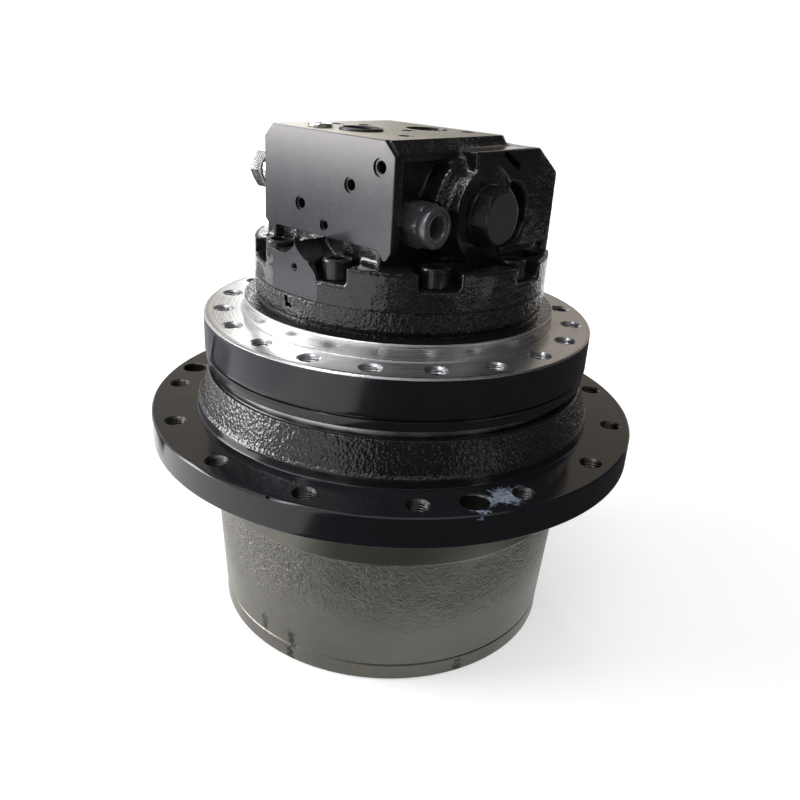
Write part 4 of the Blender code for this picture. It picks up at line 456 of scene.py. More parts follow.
# grey casting of the gear drum, oiled, with a lumpy skin that fades out towards its edges
def drumCasting(settings):
    finish, shader = newFinish("oiledGreyCasting", settings["colour"], 0.42, settings["metallic"], 0.5)
    coords = coordsOf(finish)
    height = nodeOf(finish, "SeparateXYZ", {0: coords}).outputs[2]
    rise = rangeOf(finish, height, settings["smoothBelow"] * mm, settings["roughFrom"] * mm, 0.12, 1.0, True)
    band = rangeOf(finish, height, (settings["bandFrom"] - 2) * mm, settings["bandFrom"] * mm, 1.0, 0.04)
    patches = rangeOf(finish, grainOf(finish, coords, 13, 2), 0.38, 0.6, 0.25, 1.0, True)
    skin = mathOf(finish, "MULTIPLY", mathOf(finish, "MULTIPLY", rise, band), patches)
    lumps = grainOf(finish, coords, 230, 3, 0.6, 1.2)
    pits = cellsOf(finish, coords, 420)
    grit = grainOf(finish, coords, 1600, 2)
    streaks = grainOf(finish, coordsOf(finish, 0, (1, 1, 0.06)), 42, 4, 0.6)
    cloud = grainOf(finish, coords, 9, 3)
    colour = colourMix(finish, rangeOf(finish, cloud, 0.35, 0.65, 0, 1), settings["colour"], settings["paler"])
    colour = colourMix(finish, rangeOf(finish, streaks, 0.58, 0.7, 0, 0.55), colour, settings["olive"])
    colour = colourMix(finish, mathOf(finish, "MULTIPLY", skin, rangeOf(finish, pits, 0.25, 0.05, 0, 0.5)), colour,
                       settings["pit"])
    ragged = rangeOf(finish, grainOf(finish, coords, 300, 4, 0.7), 0, 1, -0.007, 0.007)
    drips = None
    run = 0.45  # drips are longer than wide
    for centre, radius in settings["drips"]:
        spot = spotOf(finish, coordsOf(finish, 0, (1, 1, run)), (*centre[:2], centre[2] * run), radius, ragged)
        drips = spot if drips is None else mathOf(finish, "MAXIMUM", drips, spot)
    colour = colourMix(finish, drips, colour, settings["oil"])
    link(finish, colour, shader, "Base Color")
    rough = rangeOf(finish, cloud, 0.3, 0.7, *settings["roughness"])
    rough = mathOf(finish, "SUBTRACT", rough, mathOf(finish, "MULTIPLY", drips, 0.15))
    link(finish, rough, shader, "Roughness")
    relief = reliefOf(finish, mathOf(finish, "MULTIPLY", lumps, skin), settings["lumpDepth"])
    relief = reliefOf(finish, mathOf(finish, "MULTIPLY", pits, skin), settings["pitDepth"], relief)
    relief = reliefOf(finish, grit, settings["gritDepth"], relief)
    link(finish, relief, shader, "Normal")
    return finish


# plated, oxided and hidden parts share one recipe with their own numbers
def plainMetal(name, **settings):
    finish, shader = newFinish(name, settings["colour"], 0.3, settings["metallic"])
    coords = coordsOf(finish)
    cloud = grainOf(finish, coords, settings.get("cloudScale", 60), 3)
    grain = grainOf(finish, coords, settings.get("grainScale", 1400), 2)
    colour = colourMix(finish, rangeOf(finish, cloud, 0.3, 0.7, 0, 1), settings["colour"], settings["paler"])
    link(finish, colour, shader, "Base Color")
    link(finish, rangeOf(finish, cloud, 0.3, 0.7, *settings["roughness"]), shader, "Roughness")
    link(finish, reliefOf(finish, grain, settings.get("grainDepth", 0.02)), shader, "Normal")
    return finish


paintLook = {
    "colour": (0.009, 0.0095, 0.012),
    "paler": (0.014, 0.0145, 0.018),
    "specular": 0.42,
    "roughness": (0.1, 0.19),
    "grease": (0.55, 0.64, 0.85),
    "smear": [((82, -163, 184), 13), ((71, -170, 184), 9), ((92, -155, 184), 8), ((63, -184, 184), 5)],
}
castPaintLook = {
    "colour": (0.008, 0.008, 0.009),
    "paler": (0.017, 0.016, 0.017),
    "specular": 0.5,
    "roughness": (0.09, 0.18),
    "wormScale": 420,
    "wormDepth": 0.8,
    "cellScale": 460,
    "cellDepth": 0.45,
    "gritDepth": 0.012,
    "quiet": 0.75,
}
blockPaintLook = dict(castPaintLook, wormScale=620, wormDepth=0.34, cellScale=700, cellDepth=0.24, quiet=0.08)
endFaceLook = {
    "colour": (0.017, 0.019, 0.026),
    "paler": (0.028, 0.03, 0.037),
    "scratch": (0.1, 0.098, 0.1),
    "metallic": 0.0,
    "stretch": (0.02, 1, 1),
    "roughness": (0.16, 0.22),
    "lineDepth": 0.012,
    "grainDepth": 0.022,
}
topFaceLook = dict(endFaceLook, colour=(0.3, 0.278, 0.215), paler=(0.42, 0.39, 0.3), scratch=(0.12, 0.11, 0.095),
                   metallic=0.5, roughness=(0.42, 0.56), stretch=(1, 0.04, 1))
steelLook = {
    "colour": (0.5, 0.5, 0.505),
    "paler": (0.68, 0.68, 0.68),
    "stain": (0.42, 0.38, 0.33),
    "roughness": (0.2, 0.34),
    "anisotropic": 0.6,
    "ringDepth": 0.02,
}
drumLook = {
    "colour": (0.108, 0.106, 0.09),
    "paler": (0.148, 0.145, 0.125),
    "olive": (0.15, 0.138, 0.085),
    "pit": (0.045, 0.044, 0.038),
    "oil": (0.03, 0.03, 0.027),
    "metallic": 0.6,
    "roughness": (0.26, 0.38),
    "smoothBelow": 35,
    "roughFrom": 85,
    "bandFrom": 114,
    "lumpDepth": 2.7,
    "pitDepth": 0.7,
    "gritDepth": 0.03,
    "drips": [((-92, -112, 24), 4.5), ((-68, -128, 22), 5), ((-70, -127, 5), 5), ((66, -128, 5), 4)],
}

glossBlack = glossPaint(paintLook)
coneBlack = glossCasting("glossBlackCasting", castPaintLook)
blockBlack = glossCasting("glossBlackBlockCasting", blockPaintLook)
endFaceSatin = milledFace("satinMilledEnd", endFaceLook, blockTurn)
topFaceSatin = milledFace("milledTop", topFaceLook, blockTurn)
bareSteel = turnedSteel("turnedBareSteel", steelLook)
greyCasting = drumCasting(drumLook)
# the steel of the tapped holes is made far darker than bare steel: painted shade inside the holes
shadedHoleSteel = plainMetal("tappedSteelPaintedShade", colour=(0.04, 0.039, 0.037), paler=(0.1, 0.097, 0.092), metallic=1.0,
                       roughness=(0.3, 0.42))
oxideBlack = plainMetal("blackOxide", colour=(0.012, 0.012, 0.013), paler=(0.02, 0.02, 0.021), metallic=0.2,
                        roughness=(0.18, 0.3))
plugBlack = plainMetal("dullBlackPlug", colour=(0.026, 0.026, 0.028), paler=(0.034, 0.034, 0.036), metallic=0.0,
                       roughness=(0.3, 0.4))
sealRubber = plainMetal("sealRubber", colour=(0.008, 0.008, 0.008), paler=(0.013, 0.013, 0.013), metallic=0.0,
                        roughness=(0.35, 0.5))
gunmetal = plainMetal("darkPlating", colour=(0.12, 0.122, 0.13), paler=(0.17, 0.172, 0.18), metallic=0.55,
                      roughness=(0.2, 0.32))
zincBright = plainMetal("brightZinc", colour=(0.5, 0.5, 0.5), paler=(0.66, 0.66, 0.66), metallic=1.0,
                        roughness=(0.16, 0.28))
gearSteel = plainMetal("groundGearSteel", colour=(0.34, 0.34, 0.35), paler=(0.46, 0.46, 0.47), metallic=1.0,
                       roughness=(0.26, 0.4))
bearingSteel = plainMetal("polishedBearingSteel", colour=(0.55, 0.55, 0.56), paler=(0.66, 0.66, 0.67), metallic=1.0,
                          roughness=(0.12, 0.22))
valveBronze = plainMetal("valveBronze", colour=(0.46, 0.31, 0.13), paler=(0.56, 0.4, 0.2), metallic=0.95,
                         roughness=(0.28, 0.4))
brakeLining = plainMetal("brakeLining", colour=(0.1, 0.075, 0.05), paler=(0.18, 0.14, 0.1), metallic=0.0,
                         roughness=(0.75, 0.9), cloudScale=400, grainDepth=0.2)
print("finishes made")


# gives every face one of the finishes by where it is and how it faces
def dressed(piece, finishes, choose=None, body="fixed_side", nodes=(), sharp=32, milled=()):
    piece.data.materials.clear()
    for finish in finishes:
        piece.data.materials.append(finish)
    if choose:
        for face in piece.data.polygons:
            face.material_index = choose(face.center / mm, face.normal)
    piece.data.shade_smooth()
    piece.data.set_sharp_from_angle(angle=math.radians(sharp))
    for face in piece.data.polygons:
        if face.material_index in milled:  # milled faces are truly flat, also beside their softened edges
            face.use_smooth = False
    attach(piece, body)
    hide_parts(*nodes)
    return piece


def flatRadius(spot):
    return math.hypot(spot.x, spot.y)


# motor case: frame flange, pilot, neck and the spindle inside
motorCase = {
    "sides": 360,
    "holes": 20,
    "holeCircle": 141.0,
    "firstHole": -6.0,
    "tapped": {"mouth": 8.5, "major": 7.9, "minor": 6.9, "pitch": 2.0, "depth": 24.0},
    "castDepth": 0.5,
}


def makeMotorCase(settings):
    outline = [
        (84, 106, 0.5), (84, 121.2, 0), (90, 121.2, 0), (90, 190.5, 0), (97, 190.5, 0), (97, 211.9, 0), (132, 211.9, 0),
        (132, 203, 0), (149, 203, 0.4), (149, 223, 0), (155.5, 223, 0.8), (155.5, 230.5, 0.8), (153.5, 230.5, 0.3),
        (153.5, 232.5, 0.3), (156.5, 232.5, 0.8), (156.5, 260.8, 0.25), (155.3, 262, 0.25), (125, 262, 0.5),
        (125, 273.4, 0.3), (124.4, 274, 0.3), (114.5, 274, 0.6), (112.6, 275.2, 0.8), (115.6, 278.5, 2.5),
        (116, 293, 0.7), (86, 293, 0), (86, 245, 0), (72, 245, 0), (72, 149.8, 0), (36.3, 149.8, 0), (36.3, 131.7, 0),
        (25, 131.7, 0), (25, 116, 0), (60.3, 116, 0), (60.3, 106, 0.5),
    ]
    profile = divided(softened(outline, steps=3), 3.0)
    piece = pieceFrom("motorCase", [turned(profile, settings["sides"])])

    def rough(spot, normal):
        return 1.0 if 277.5 < spot.z < 292 and flatRadius(spot) > 110 else 0.0

    castSurface(piece, 5.0, settings["castDepth"], rough)
    tapped = tappedTool(**settings["tapped"])
    holes = spread(tapped, settings["holeCircle"], settings["holes"], settings["firstHole"], 262)
    seats = spread(turned([(7.3, 264), (7.3, 294)], 32, False), **blockScrews)
    notch = [(-5.0, 4.2), (-1.6, 4.2), (-0.6, -0.6), (4.6, -1.4), (4.4, -4.2), (-3.6, -3.6)]
    notchPlace = placeOnCircle(116, -42.2, 287.5) @ turnAbout(90) @ turnAbout(90, "X")
    notchTool = movedShape(raised(notch, -3.0, 5.0), notchPlace)
    cutWith(piece, [pieceFrom("holes", holes), pieceFrom("seats", seats), pieceFrom("notch", [notchTool])])

    def choose(spot, normal):
        away = flatRadius(spot)
        if 120 < away < 150 and 237 < spot.z < 261.99 and math.degrees(normal.angle(Vector((0, 0, 1)))) > 20:
            return 3
        if 260.7 < spot.z < 274.2 and away > 124.3:
            return 1
        if 273 < spot.z < 275 and away > 112:
            return 1 if away > 123.5 else 2
        if spot.z > 274.5 and away > 100:
            return 2
        if spot.z < 222 or away < 110:
            return 3
        return 0

    return dressed(piece, [glossBlack, bareSteel, coneBlack, gearSteel], choose, "fixed_side",
                   ["motor_case"])


makeMotorCase(motorCase)
print("motor case made")

# hub: sprocket flange, cast cone and the lip over the seal
hub = {
    "sides": 480,
    "holes": 15,
    "holeCircle": 184.0,
    "firstHole": 7.1,
    "tapped": {"mouth": 8.5, "major": 7.9, "minor": 6.9, "pitch": 2.0, "depth": 23.7, "through": True},
    "dowels": 3,
    "dowelRadius": 9.9,
    "firstDowel": 19.2,
    "castDepth": 0.55,
}


def makeHub(settings):
    outline = [
        (122, 121.5, 0.6), (113, 121.5, 0.4), (113, 148.8, 0), (107, 148.8, 0), (107, 162.9, 0), (113, 162.9, 0),
        (113, 191, 0), (132, 191, 0), (132, 201, 0), (151, 201, 0), (151, 216, 0.5), (154.6, 216, 1.2),
        (161.3, 193.2, 3.0), (163.2, 190.8, 1.5), (164, 184, 0.9), (198.8, 184, 0.3), (200, 182.8, 0.3),
        (200, 161.2, 0.3), (199.1, 160.3, 0.3), (153.8, 160.3, 0.2), (153.8, 161, 0), (122, 161, 0.3),
    ]
    profile = divided(softened(outline, steps=3), 2.2)
    piece = pieceFrom("hubCasting", [turned(profile, settings["sides"])])

    def rough(spot, normal):
        if flatRadius(spot) > 153.5 and spot.z > 192.5:
            return min(1.0, (spot.z - 192.5) / 3, (215.5 - spot.z) / 2)
        return 0.0

    castSurface(piece, 4.2, settings["castDepth"], rough)
    tapped = tappedTool(**settings["tapped"])
    holes = spread(tapped, settings["holeCircle"], settings["holes"], settings["firstHole"], 184)
    radius = settings["dowelRadius"]
    bore = [(radius + 1.8, 185.2), (radius, 183.4), (radius, 160.9), (radius + 1.8, 159.1)]
    dowels = spread(turned(bore, 64, False), settings["holeCircle"], settings["dowels"], settings["firstDowel"])
    seats = spread(turned([(5.3, 159), (5.3, 177.5)], 32, False), **drumScrews)
    nick = movedShape(boxShape((-2.2, -1.3, -1.0), (2.0, 1.3, 1.2)), placeOnCircle(200.4, -22.3, 183.9) @ turnAbout(24))
    cutWith(piece, [pieceFrom("holes", holes), pieceFrom("dowels", dowels), pieceFrom("seats", seats),
                    pieceFrom("nick", [nick])])

    def choose(spot, normal):
        away = flatRadius(spot)
        # the walls of the tapped holes take the darkened steel, which paints the shade inside them
        if 170 < away < 196 and 160.4 < spot.z < 183.95 and abs(normal.z) < 0.97:
            apart = 360 / settings["dowels"]
            turn = (math.degrees(math.atan2(spot.y, spot.x)) - settings["firstDowel"]) % apart
            return 4 if min(turn, apart - turn) < 3.6 else 2
        if 153 < away < 163.6 and 191 < spot.z < 215.9:
            return 1
        if away < 153 and spot.z < 215:
            return 3
        return 0

    return dressed(piece, [glossBlack, coneBlack, shadedHoleSteel, gearSteel, bareSteel], choose, "turning_housing",
                   ["hub"])


makeHub(hub)
print("hub made")

# gear drum: grey casting with a smooth band under the sprocket flange, and the ring gear inside it
gearDrum = {
    "sides": 420,
    "castDepth": 0.55,
    "teeth": 48,
    "module": 4.5,
    "teethFrom": 19.2,
    "teethTo": 105.2,
    "toothBack": 114.28,
    # one tooth space: (share of a pitch, depth in modules)
    "toothSpace": [(-0.5, 1.25), (-0.33, 1.25), (-0.25, 0.2), (-0.15, -1.0), (0.15, -1.0), (0.25, 0.2), (0.33, 1.25)],
}


def makeGearDrum(settings):
    outline = [
        (119, 15, 0), (143.4, 15, 0.4), (144.4, 16, 0.6), (145.6, 37, 20), (149.9, 111.6, 3.0), (153.2, 113.6, 1.2),
        (153.5, 115, 0.8), (153.5, 160.7, 0.5), (122.3, 160.7, 0), (122.3, 105.4, 0), (114.3, 105.4, 0), (114.3, 19, 0),
        (119, 19, 0),
    ]
    profile = divided(softened(outline, steps=4), 2.4)
    piece = pieceFrom("gearDrum", [turned(profile, settings["sides"])])

    def rough(spot, normal):
        if flatRadius(spot) < 141 or spot.z > 114 or spot.z < 17:
            return 0.0
        wide = noise.noise(spot / 60 + Vector((3, 0, 5))) * 0.5 + 0.6
        return max(0.1, min(1.0, (spot.z - 25) / 60)) * wide * min(1.0, (spot.z - 16) / 4)

    castSurface(piece, 6.5, settings["castDepth"], rough, 0.45)
    seats = spread(turned([(5.3, 13), (5.3, 162)], 24, False), **drumScrews)
    cutWith(piece, [pieceFrom("seats", seats)])
    dressed(piece, [greyCasting], None, "turning_housing", ["gear_drum"])

    inner, outer = [], []
    module, teeth, back = settings["module"], settings["teeth"], settings["toothBack"]
    for tooth in range(teeth):
        for turn, depth in settings["toothSpace"]:
            angle = math.tau * (tooth + 0.5 + turn) / teeth
            away = module * teeth / 2 + depth * module
            inner.append((away * math.cos(angle), away * math.sin(angle)))
            outer.append((back * math.cos(angle), back * math.sin(angle)))
    low, high = settings["teethFrom"], settings["teethTo"]
    rings = [[(x, y, z) for x, y in side] for side, z in ((inner, low), (outer, low), (outer, high), (inner, high))]
    gear = pieceFrom("ringGear", [loft(rings, True)])
    dressed(gear, [gearSteel], None, "turning_housing", ["gear_drum"])


makeGearDrum(gearDrum)
print("gear drum made")

# end cover, its plugs and the screws that hold it and the drum to the hub
endCover = {
    "sides": 360,
    "plugCircle": 76.0,
    "plugs": (("fillPlug", "fill_plug", 30), ("drainPlug", "drain_plug", 210)),
    "screw": {"shankRadius": 5.0, "grip": 166.3, "headRadius": 8.0, "headHeight": 10.0, "socketFlats": 8.0,
              "knurls": 40},
}


def makeEndCover(settings):
    outline = [
        (4, 3, 0), (95, 3, 1.5), (98, 0, 0.8), (142.4, 0, 0.8), (144, 1.4, 1.0), (144, 13.6, 0.5), (143, 14.7, 0.4),
        (118.7, 14.7, 0), (118.7, 18.7, 0.4), (113.9, 18.7, 0.4), (113.9, 12, 1.0), (13.5, 12, 0), (13.5, 20.8, 0.5),
        (4, 20.8, 0),
    ]
    profile = divided(softened(outline, False, 4), 4.0, False)
    piece = pieceFrom("endCover", [turned(profile, settings["sides"], False)])
    castSurface(piece, 7.0, 0.2, lambda spot, normal: 1.0 if 1.5 < spot.z < 13 and flatRadius(spot) > 143 else 0.0)
    seat = [(9.1, -1.5), (8.3, 0.6), (8.3, 11.3), (5.3, 11.3), (5.3, 16)]
    seats = spread(turned(seat, 48, False), **drumScrews)
    mouth = turned([(13.3, 1.5), (13.3, 3.2), (12.3, 4.2), (12.3, 13)], 64, False)
    openings = [movedShape(mouth, placeOnCircle(settings["plugCircle"], place)) for _, _, place in settings["plugs"]]
    cutWith(piece, [pieceFrom("seats", seats), pieceFrom("openings", openings)])
    dressed(piece, [greyCasting], None, "turning_housing", ["end_cover"])

    screw = capScrew(**settings["screw"])
    for number in range(1, drumScrews["count"] + 1):
        turn = 360 * number / drumScrews["count"]
        place = placeOnCircle(drumScrews["radius"], turn, 11.0) @ turnAbout(180, "X")
        made = pieceFrom(f"drumScrew{number}", [movedShape(screw, place)])
        dressed(made, [oxideBlack], None, "turning_housing", [f"drum_screw_{number}"])
    for name, node, place in settings["plugs"]:
        rings = ringsOf([(11.6, 12), (12, 11.6), (12, 4.2), (11.3, 3.5), (7.6, 3.5)], 72)
        rings += [hexagonRing(12, 4.2, 72), hexagonRing(12, 8.2, 72), circle(1, 9.0, 72)]
        made = pieceFrom(name, [movedShape(loft(rings), placeOnCircle(settings["plugCircle"], place))])
        dressed(made, [oxideBlack], None, "turning_housing", [node])


makeEndCover(endCover)
print("end cover, its plugs and the drum screws made")

# port block: one casting, with a milled end, top, pad and valve faces
portBlock = {
    "voxel": 1.25,
    "softening": 7,
    "castDepth": 0.3,
    "low": 293.3,
    "top": 403.5,
    "pocketPlaces": [blockScrews["first"] + blockTurn + 360 * number / blockScrews["count"] for number in
                     range(blockScrews["count"])],
    "lowPocket": 135.0,  # the pocket under the right end of the valve housing has less room
    "mainPorts": [(0, -51.5), (6, 14)],
    "smallPorts": [(12, -14), (40.5, -49), (-42, -34), (-30, -16), (34, 30)],
    "plugPort": (-27, -66),
    "hollow": (23.5, 349.6),
    "gaugePorts": [(52.1, 386.0, 6.2), (24.8, 371.0, 5.5), (-25.3, 351.2, 5.3), (-0.1, 339.4, 4.2)],
}
valveAxis = (-6.5, 352.6)
lengthwise = Matrix(((1, 0, 0, 0), (0, 0, 1, 0), (0, 1, 0, 0), (0, 0, 0, 1)))
crosswise = Matrix(((0, 0, 1, 0), (1, 0, 0, 0), (0, 1, 0, 0), (0, 0, 0, 1)))


def bellWidth(rise):
    return 22.5 if rise <= 16 else 22.5 * (1 + math.cos(math.pi * (rise - 16) / 22)) / 2


def bellOutline(inset):
    right = [(bellWidth(rise) - inset, 293.3 + rise) for rise in [0.6] + [16 + 22 * step / 12 for step in range(12)]]
    return right + [(0, 333.2 - inset)] + [(-x, z) for x, z in reversed(right)]


# the slot of one screw, open to the rim of the foot
def pocketShape(place):
    radius = 15
    turns = [math.radians(90 + 7.5 * step) for step in range(25)]
    outline = [(radius * math.cos(turn), radius * math.sin(turn)) for turn in turns]
    outline += [(45, -radius), (45, radius)]
    return movedShape(raised(outline, 308.5, 322.0), placeOnCircle(blockScrews["radius"], place))


def makePortBlock(settings):
    low, top = settings["low"], settings["top"]
    lump = [(-20, 352.6), (-6.5, 315.3), (86, 315.3), (86, 377.5), (58, 396.5), (-20, 396.5)]
    slab = [(-65, 389), (65, 389), (65, top - 8.4), (57.6, top + 1.2), (-57.6, top + 1.2), (-65, top - 8.4)]
    rear = [(-64, 386), (64, 386), (64, 388), (56, 397), (-56, 397), (-64, 388)]
    boss = softened([(41, 0, 0), (41, 69.5, 3), (33.5, 72.5, 5), (33.5, 84.5, 0)], False, 5)
    shapes = [
        turned([(116, low - 1.5), (116, 320.5)], 240, False),
        boxShape((-54, -84, 318), (54, 85, 393)),
        movedShape(raised(slab, -83.5, 42), lengthwise),
        movedShape(raised(rear, 40, 58), lengthwise),
        movedShape(raised(lump, 50, 82.4), crosswise),
        movedShape(raised(lump, -82.4, -50), crosswise),
        movedShape(turned(boss, 160, False), shift(0, *valveAxis) @ alongX),
        movedShape(turned(boss, 160, False), shift(0, *valveAxis) @ alongMinusX),
        movedShape(raised(bellOutline(0.8), -113.0, -80), lengthwise),
        movedShape(raised([(-58, 326), (50, 326), (57, 333), (57, 345), (-58, 345)], -83.5, -60), lengthwise),
        boxShape((-64.6, -84.5, 317), (-50, -60, 336)),
    ]
    block = pieceFrom("portBlock", shapes[:1])
    cutWith(block, [pieceFrom("pocket", [pocketShape(place)]) for place in settings["pocketPlaces"]])
    cutWith(block, [pieceFrom("part", [shape]) for shape in shapes[1:]], "UNION")
    tallRoom = turned([(14.6, 308.5), (14.6, 333)], 48, False)
    lowRoom = turned([(14.6, 308.5), (14.6, 314), (11.2, 314), (11.2, 323.6)], 48, False)
    cutWith(block, [pieceFrom("room", [movedShape(lowRoom if place == settings["lowPocket"] else tallRoom,
                                                  placeOnCircle(blockScrews["radius"], place))])
                    for place in settings["pocketPlaces"]])
    hollow = turned([(22, 71.5), (23.5, 73), (23.5, 90)], 120, False)
    cutWith(block, [pieceFrom("hollow", [movedShape(hollow, shift(0, *settings["hollow"]) @ alongX)])])
    cutWith(block, [pieceFrom("boss", [movedShape(turned(boss, 160, False), shift(0, *valveAxis) @ alongX)])], "UNION")
    remesh = block.modifiers.new("remesh", "REMESH")
    remesh.mode = "VOXEL"
    remesh.voxel_size = settings["voxel"] * mm
    smooth = block.modifiers.new("smooth", "SMOOTH")
    smooth.factor = 0.5
    smooth.iterations = settings["softening"]
    settled(block)
    castSurface(block, 7.0, settings["castDepth"], lambda spot, normal: 1.0, 0.4)
    print("port block cast:", len(block.data.polygons), "faces")

    # machining
    away = 200
    mills = [
        boxShape((-away, -away, low - 20), (away, away, low)),
        boxShape((-70, -90, top), (70, 42.6, top + 20)),
        boxShape((-60, -140, low - 5), (60, -113.6, 345)),
        boxShape((83, -45, 300), (100, 50, 400)),
        boxShape((-100, -45, 300), (-83, 50, 400)),
    ]
    cutWith(block, [pieceFrom("mill", [shape]) for shape in mills])
    bore = turned([(16.9, -85), (16.3, -81), (16.3, 81), (16.9, 85)], 96, False)
    bore = movedShape(bore, shift(0, *valveAxis) @ alongX)
    seat = turned([(7.3, 290), (7.3, 311)], 32, False)
    seats = [movedShape(seat, placeOnCircle(blockScrews["radius"], place)) for place in settings["pocketPlaces"]]
    slot = [(9.6, 393.4), (12.6, 396.6), (33, 385.6), (30.4, 381.4)]
    slotTool = movedShape(raised(slot, 70, 90), crosswise)
    cutWith(block, [pieceFrom("bore", [bore]), pieceFrom("seats", seats), pieceFrom("slot", [slotTool])])

    # the milled end plate, with crisp edges
    plate = [(-61.5, 331.3), (51, 331.3), (53.5, 330.6), (55.6, 328.2), (57.6, 325.6), (60, 324.8), (62, 326.6),
             (65, 331.3), (65, top - 9.5), (55.5, top), (-55.5, top), (-65, top - 9.5), (-65, 334.8)]
    end = pieceFrom("endPlate", [movedShape(raised(plate, -86, -77), lengthwise)])
    cutWith(block, [bevelled(end, 0.55, 28)], "UNION")
    skin = pieceFrom("padSkin", [movedShape(raised(bellOutline(0), -113.55, -110.2), lengthwise)])
    cutWith(block, [bevelled(skin, 0.5, 50)], "UNION")

    tools = []
    for x, y in settings["mainPorts"]:
        port = [(16.6, 1.2), (16.0, -0.4), (16.0, -1.6), (12.6, -1.6), (12.2, -2.2), (12.2, -25), (10, -26)]
        tools.append(movedShape(turned(port, 96, False), shift(x, y, top)))
    for x, y in settings["smallPorts"]:
        tools.append(movedShape(tappedTool(5.6, 5.0, 4.2, 1.5, 15), shift(x, y, top)))
    tools.append(movedShape(turned([(6.8, 1.2), (6.8, -12.7)], 48, False), shift(*settings["plugPort"], top)))
    for x, z, radius in settings["gaugePorts"]:
        steps = [(radius + 1.2, 1.2), (radius, 0), (radius, -1.3), (radius * 0.72, -1.3), (radius * 0.6, -2.2),
                 (radius * 0.6, -11)]
        tools.append(movedShape(turned(steps, 48, False), shift(x, -86, z) @ alongMinusY))
    tools.append(movedShape(tappedTool(3.0, 2.6, 2.1, 1.0, 11), shift(0, -113.6, 313.3) @ alongMinusY))
    seat = [(13.6, -14), (13.6, 0), (18.2, 0.2), (18.2, 34)]
    tools.append(movedShape(turned(seat, 72, False), shift(54, -54.5, 347.6) @ alongX))
    tools.append(movedShape(turned([(11.3, -18), (11.3, 3)], 48, False), shift(-54, -61, 366.3) @ alongMinusX))
    cutWith(block, [pieceFrom("ports", tools)])
    block.data.transform(blockSpace)
    block.data.update()

    def choose(spot, normal):
        local = blockSpace.inverted() @ spot
        facing = blockSpace.to_3x3().inverted() @ normal
        if local.y < -85 and local.z > 324 and facing.y < -0.3 and abs(local.x) < 65.2:
            return 1
        if local.y < -113.3 and facing.y < -0.9 and abs(local.x) < bellWidth(local.z - 293.3):
            return 1
        if local.z > top - 0.02 and facing.z > 0.9:
            return 2
        for x, z, radius in settings["gaugePorts"]:
            if math.hypot(local.x - x, local.z - z) < radius + 0.4 and local.y < -70:
                return 1 if facing.y < -0.6 and local.y < -83.5 else 3
        if math.hypot(local.y + 6.5, local.z - 352.6) < 17.5 and abs(local.x) < 84:
            return 3
        if local.z > top - 26.1 and abs(facing.z) < 0.9:
            for x, y in settings["mainPorts"]:
                if math.hypot(local.x - x, local.y - y) < 16.8:
                    return 3
            for x, y in settings["smallPorts"]:
                if math.hypot(local.x - x, local.y - y) < 6.2:
                    return 3
        return 0

    return dressed(block, [blockBlack, endFaceSatin, topFaceSatin, oxideBlack], choose, "fixed_side",
                   ["port_block"], 38, milled=(1, 2))


makePortBlock(portBlock)
print("port block machined")

# screws, plugs and the drain fitting of the port block
blockFittings = {
    "screw": {"shankRadius": 7.0, "grip": 43.2, "headRadius": 10.5, "headHeight": 14.0, "socketFlats": 12.0,
              "knurls": 40},
}


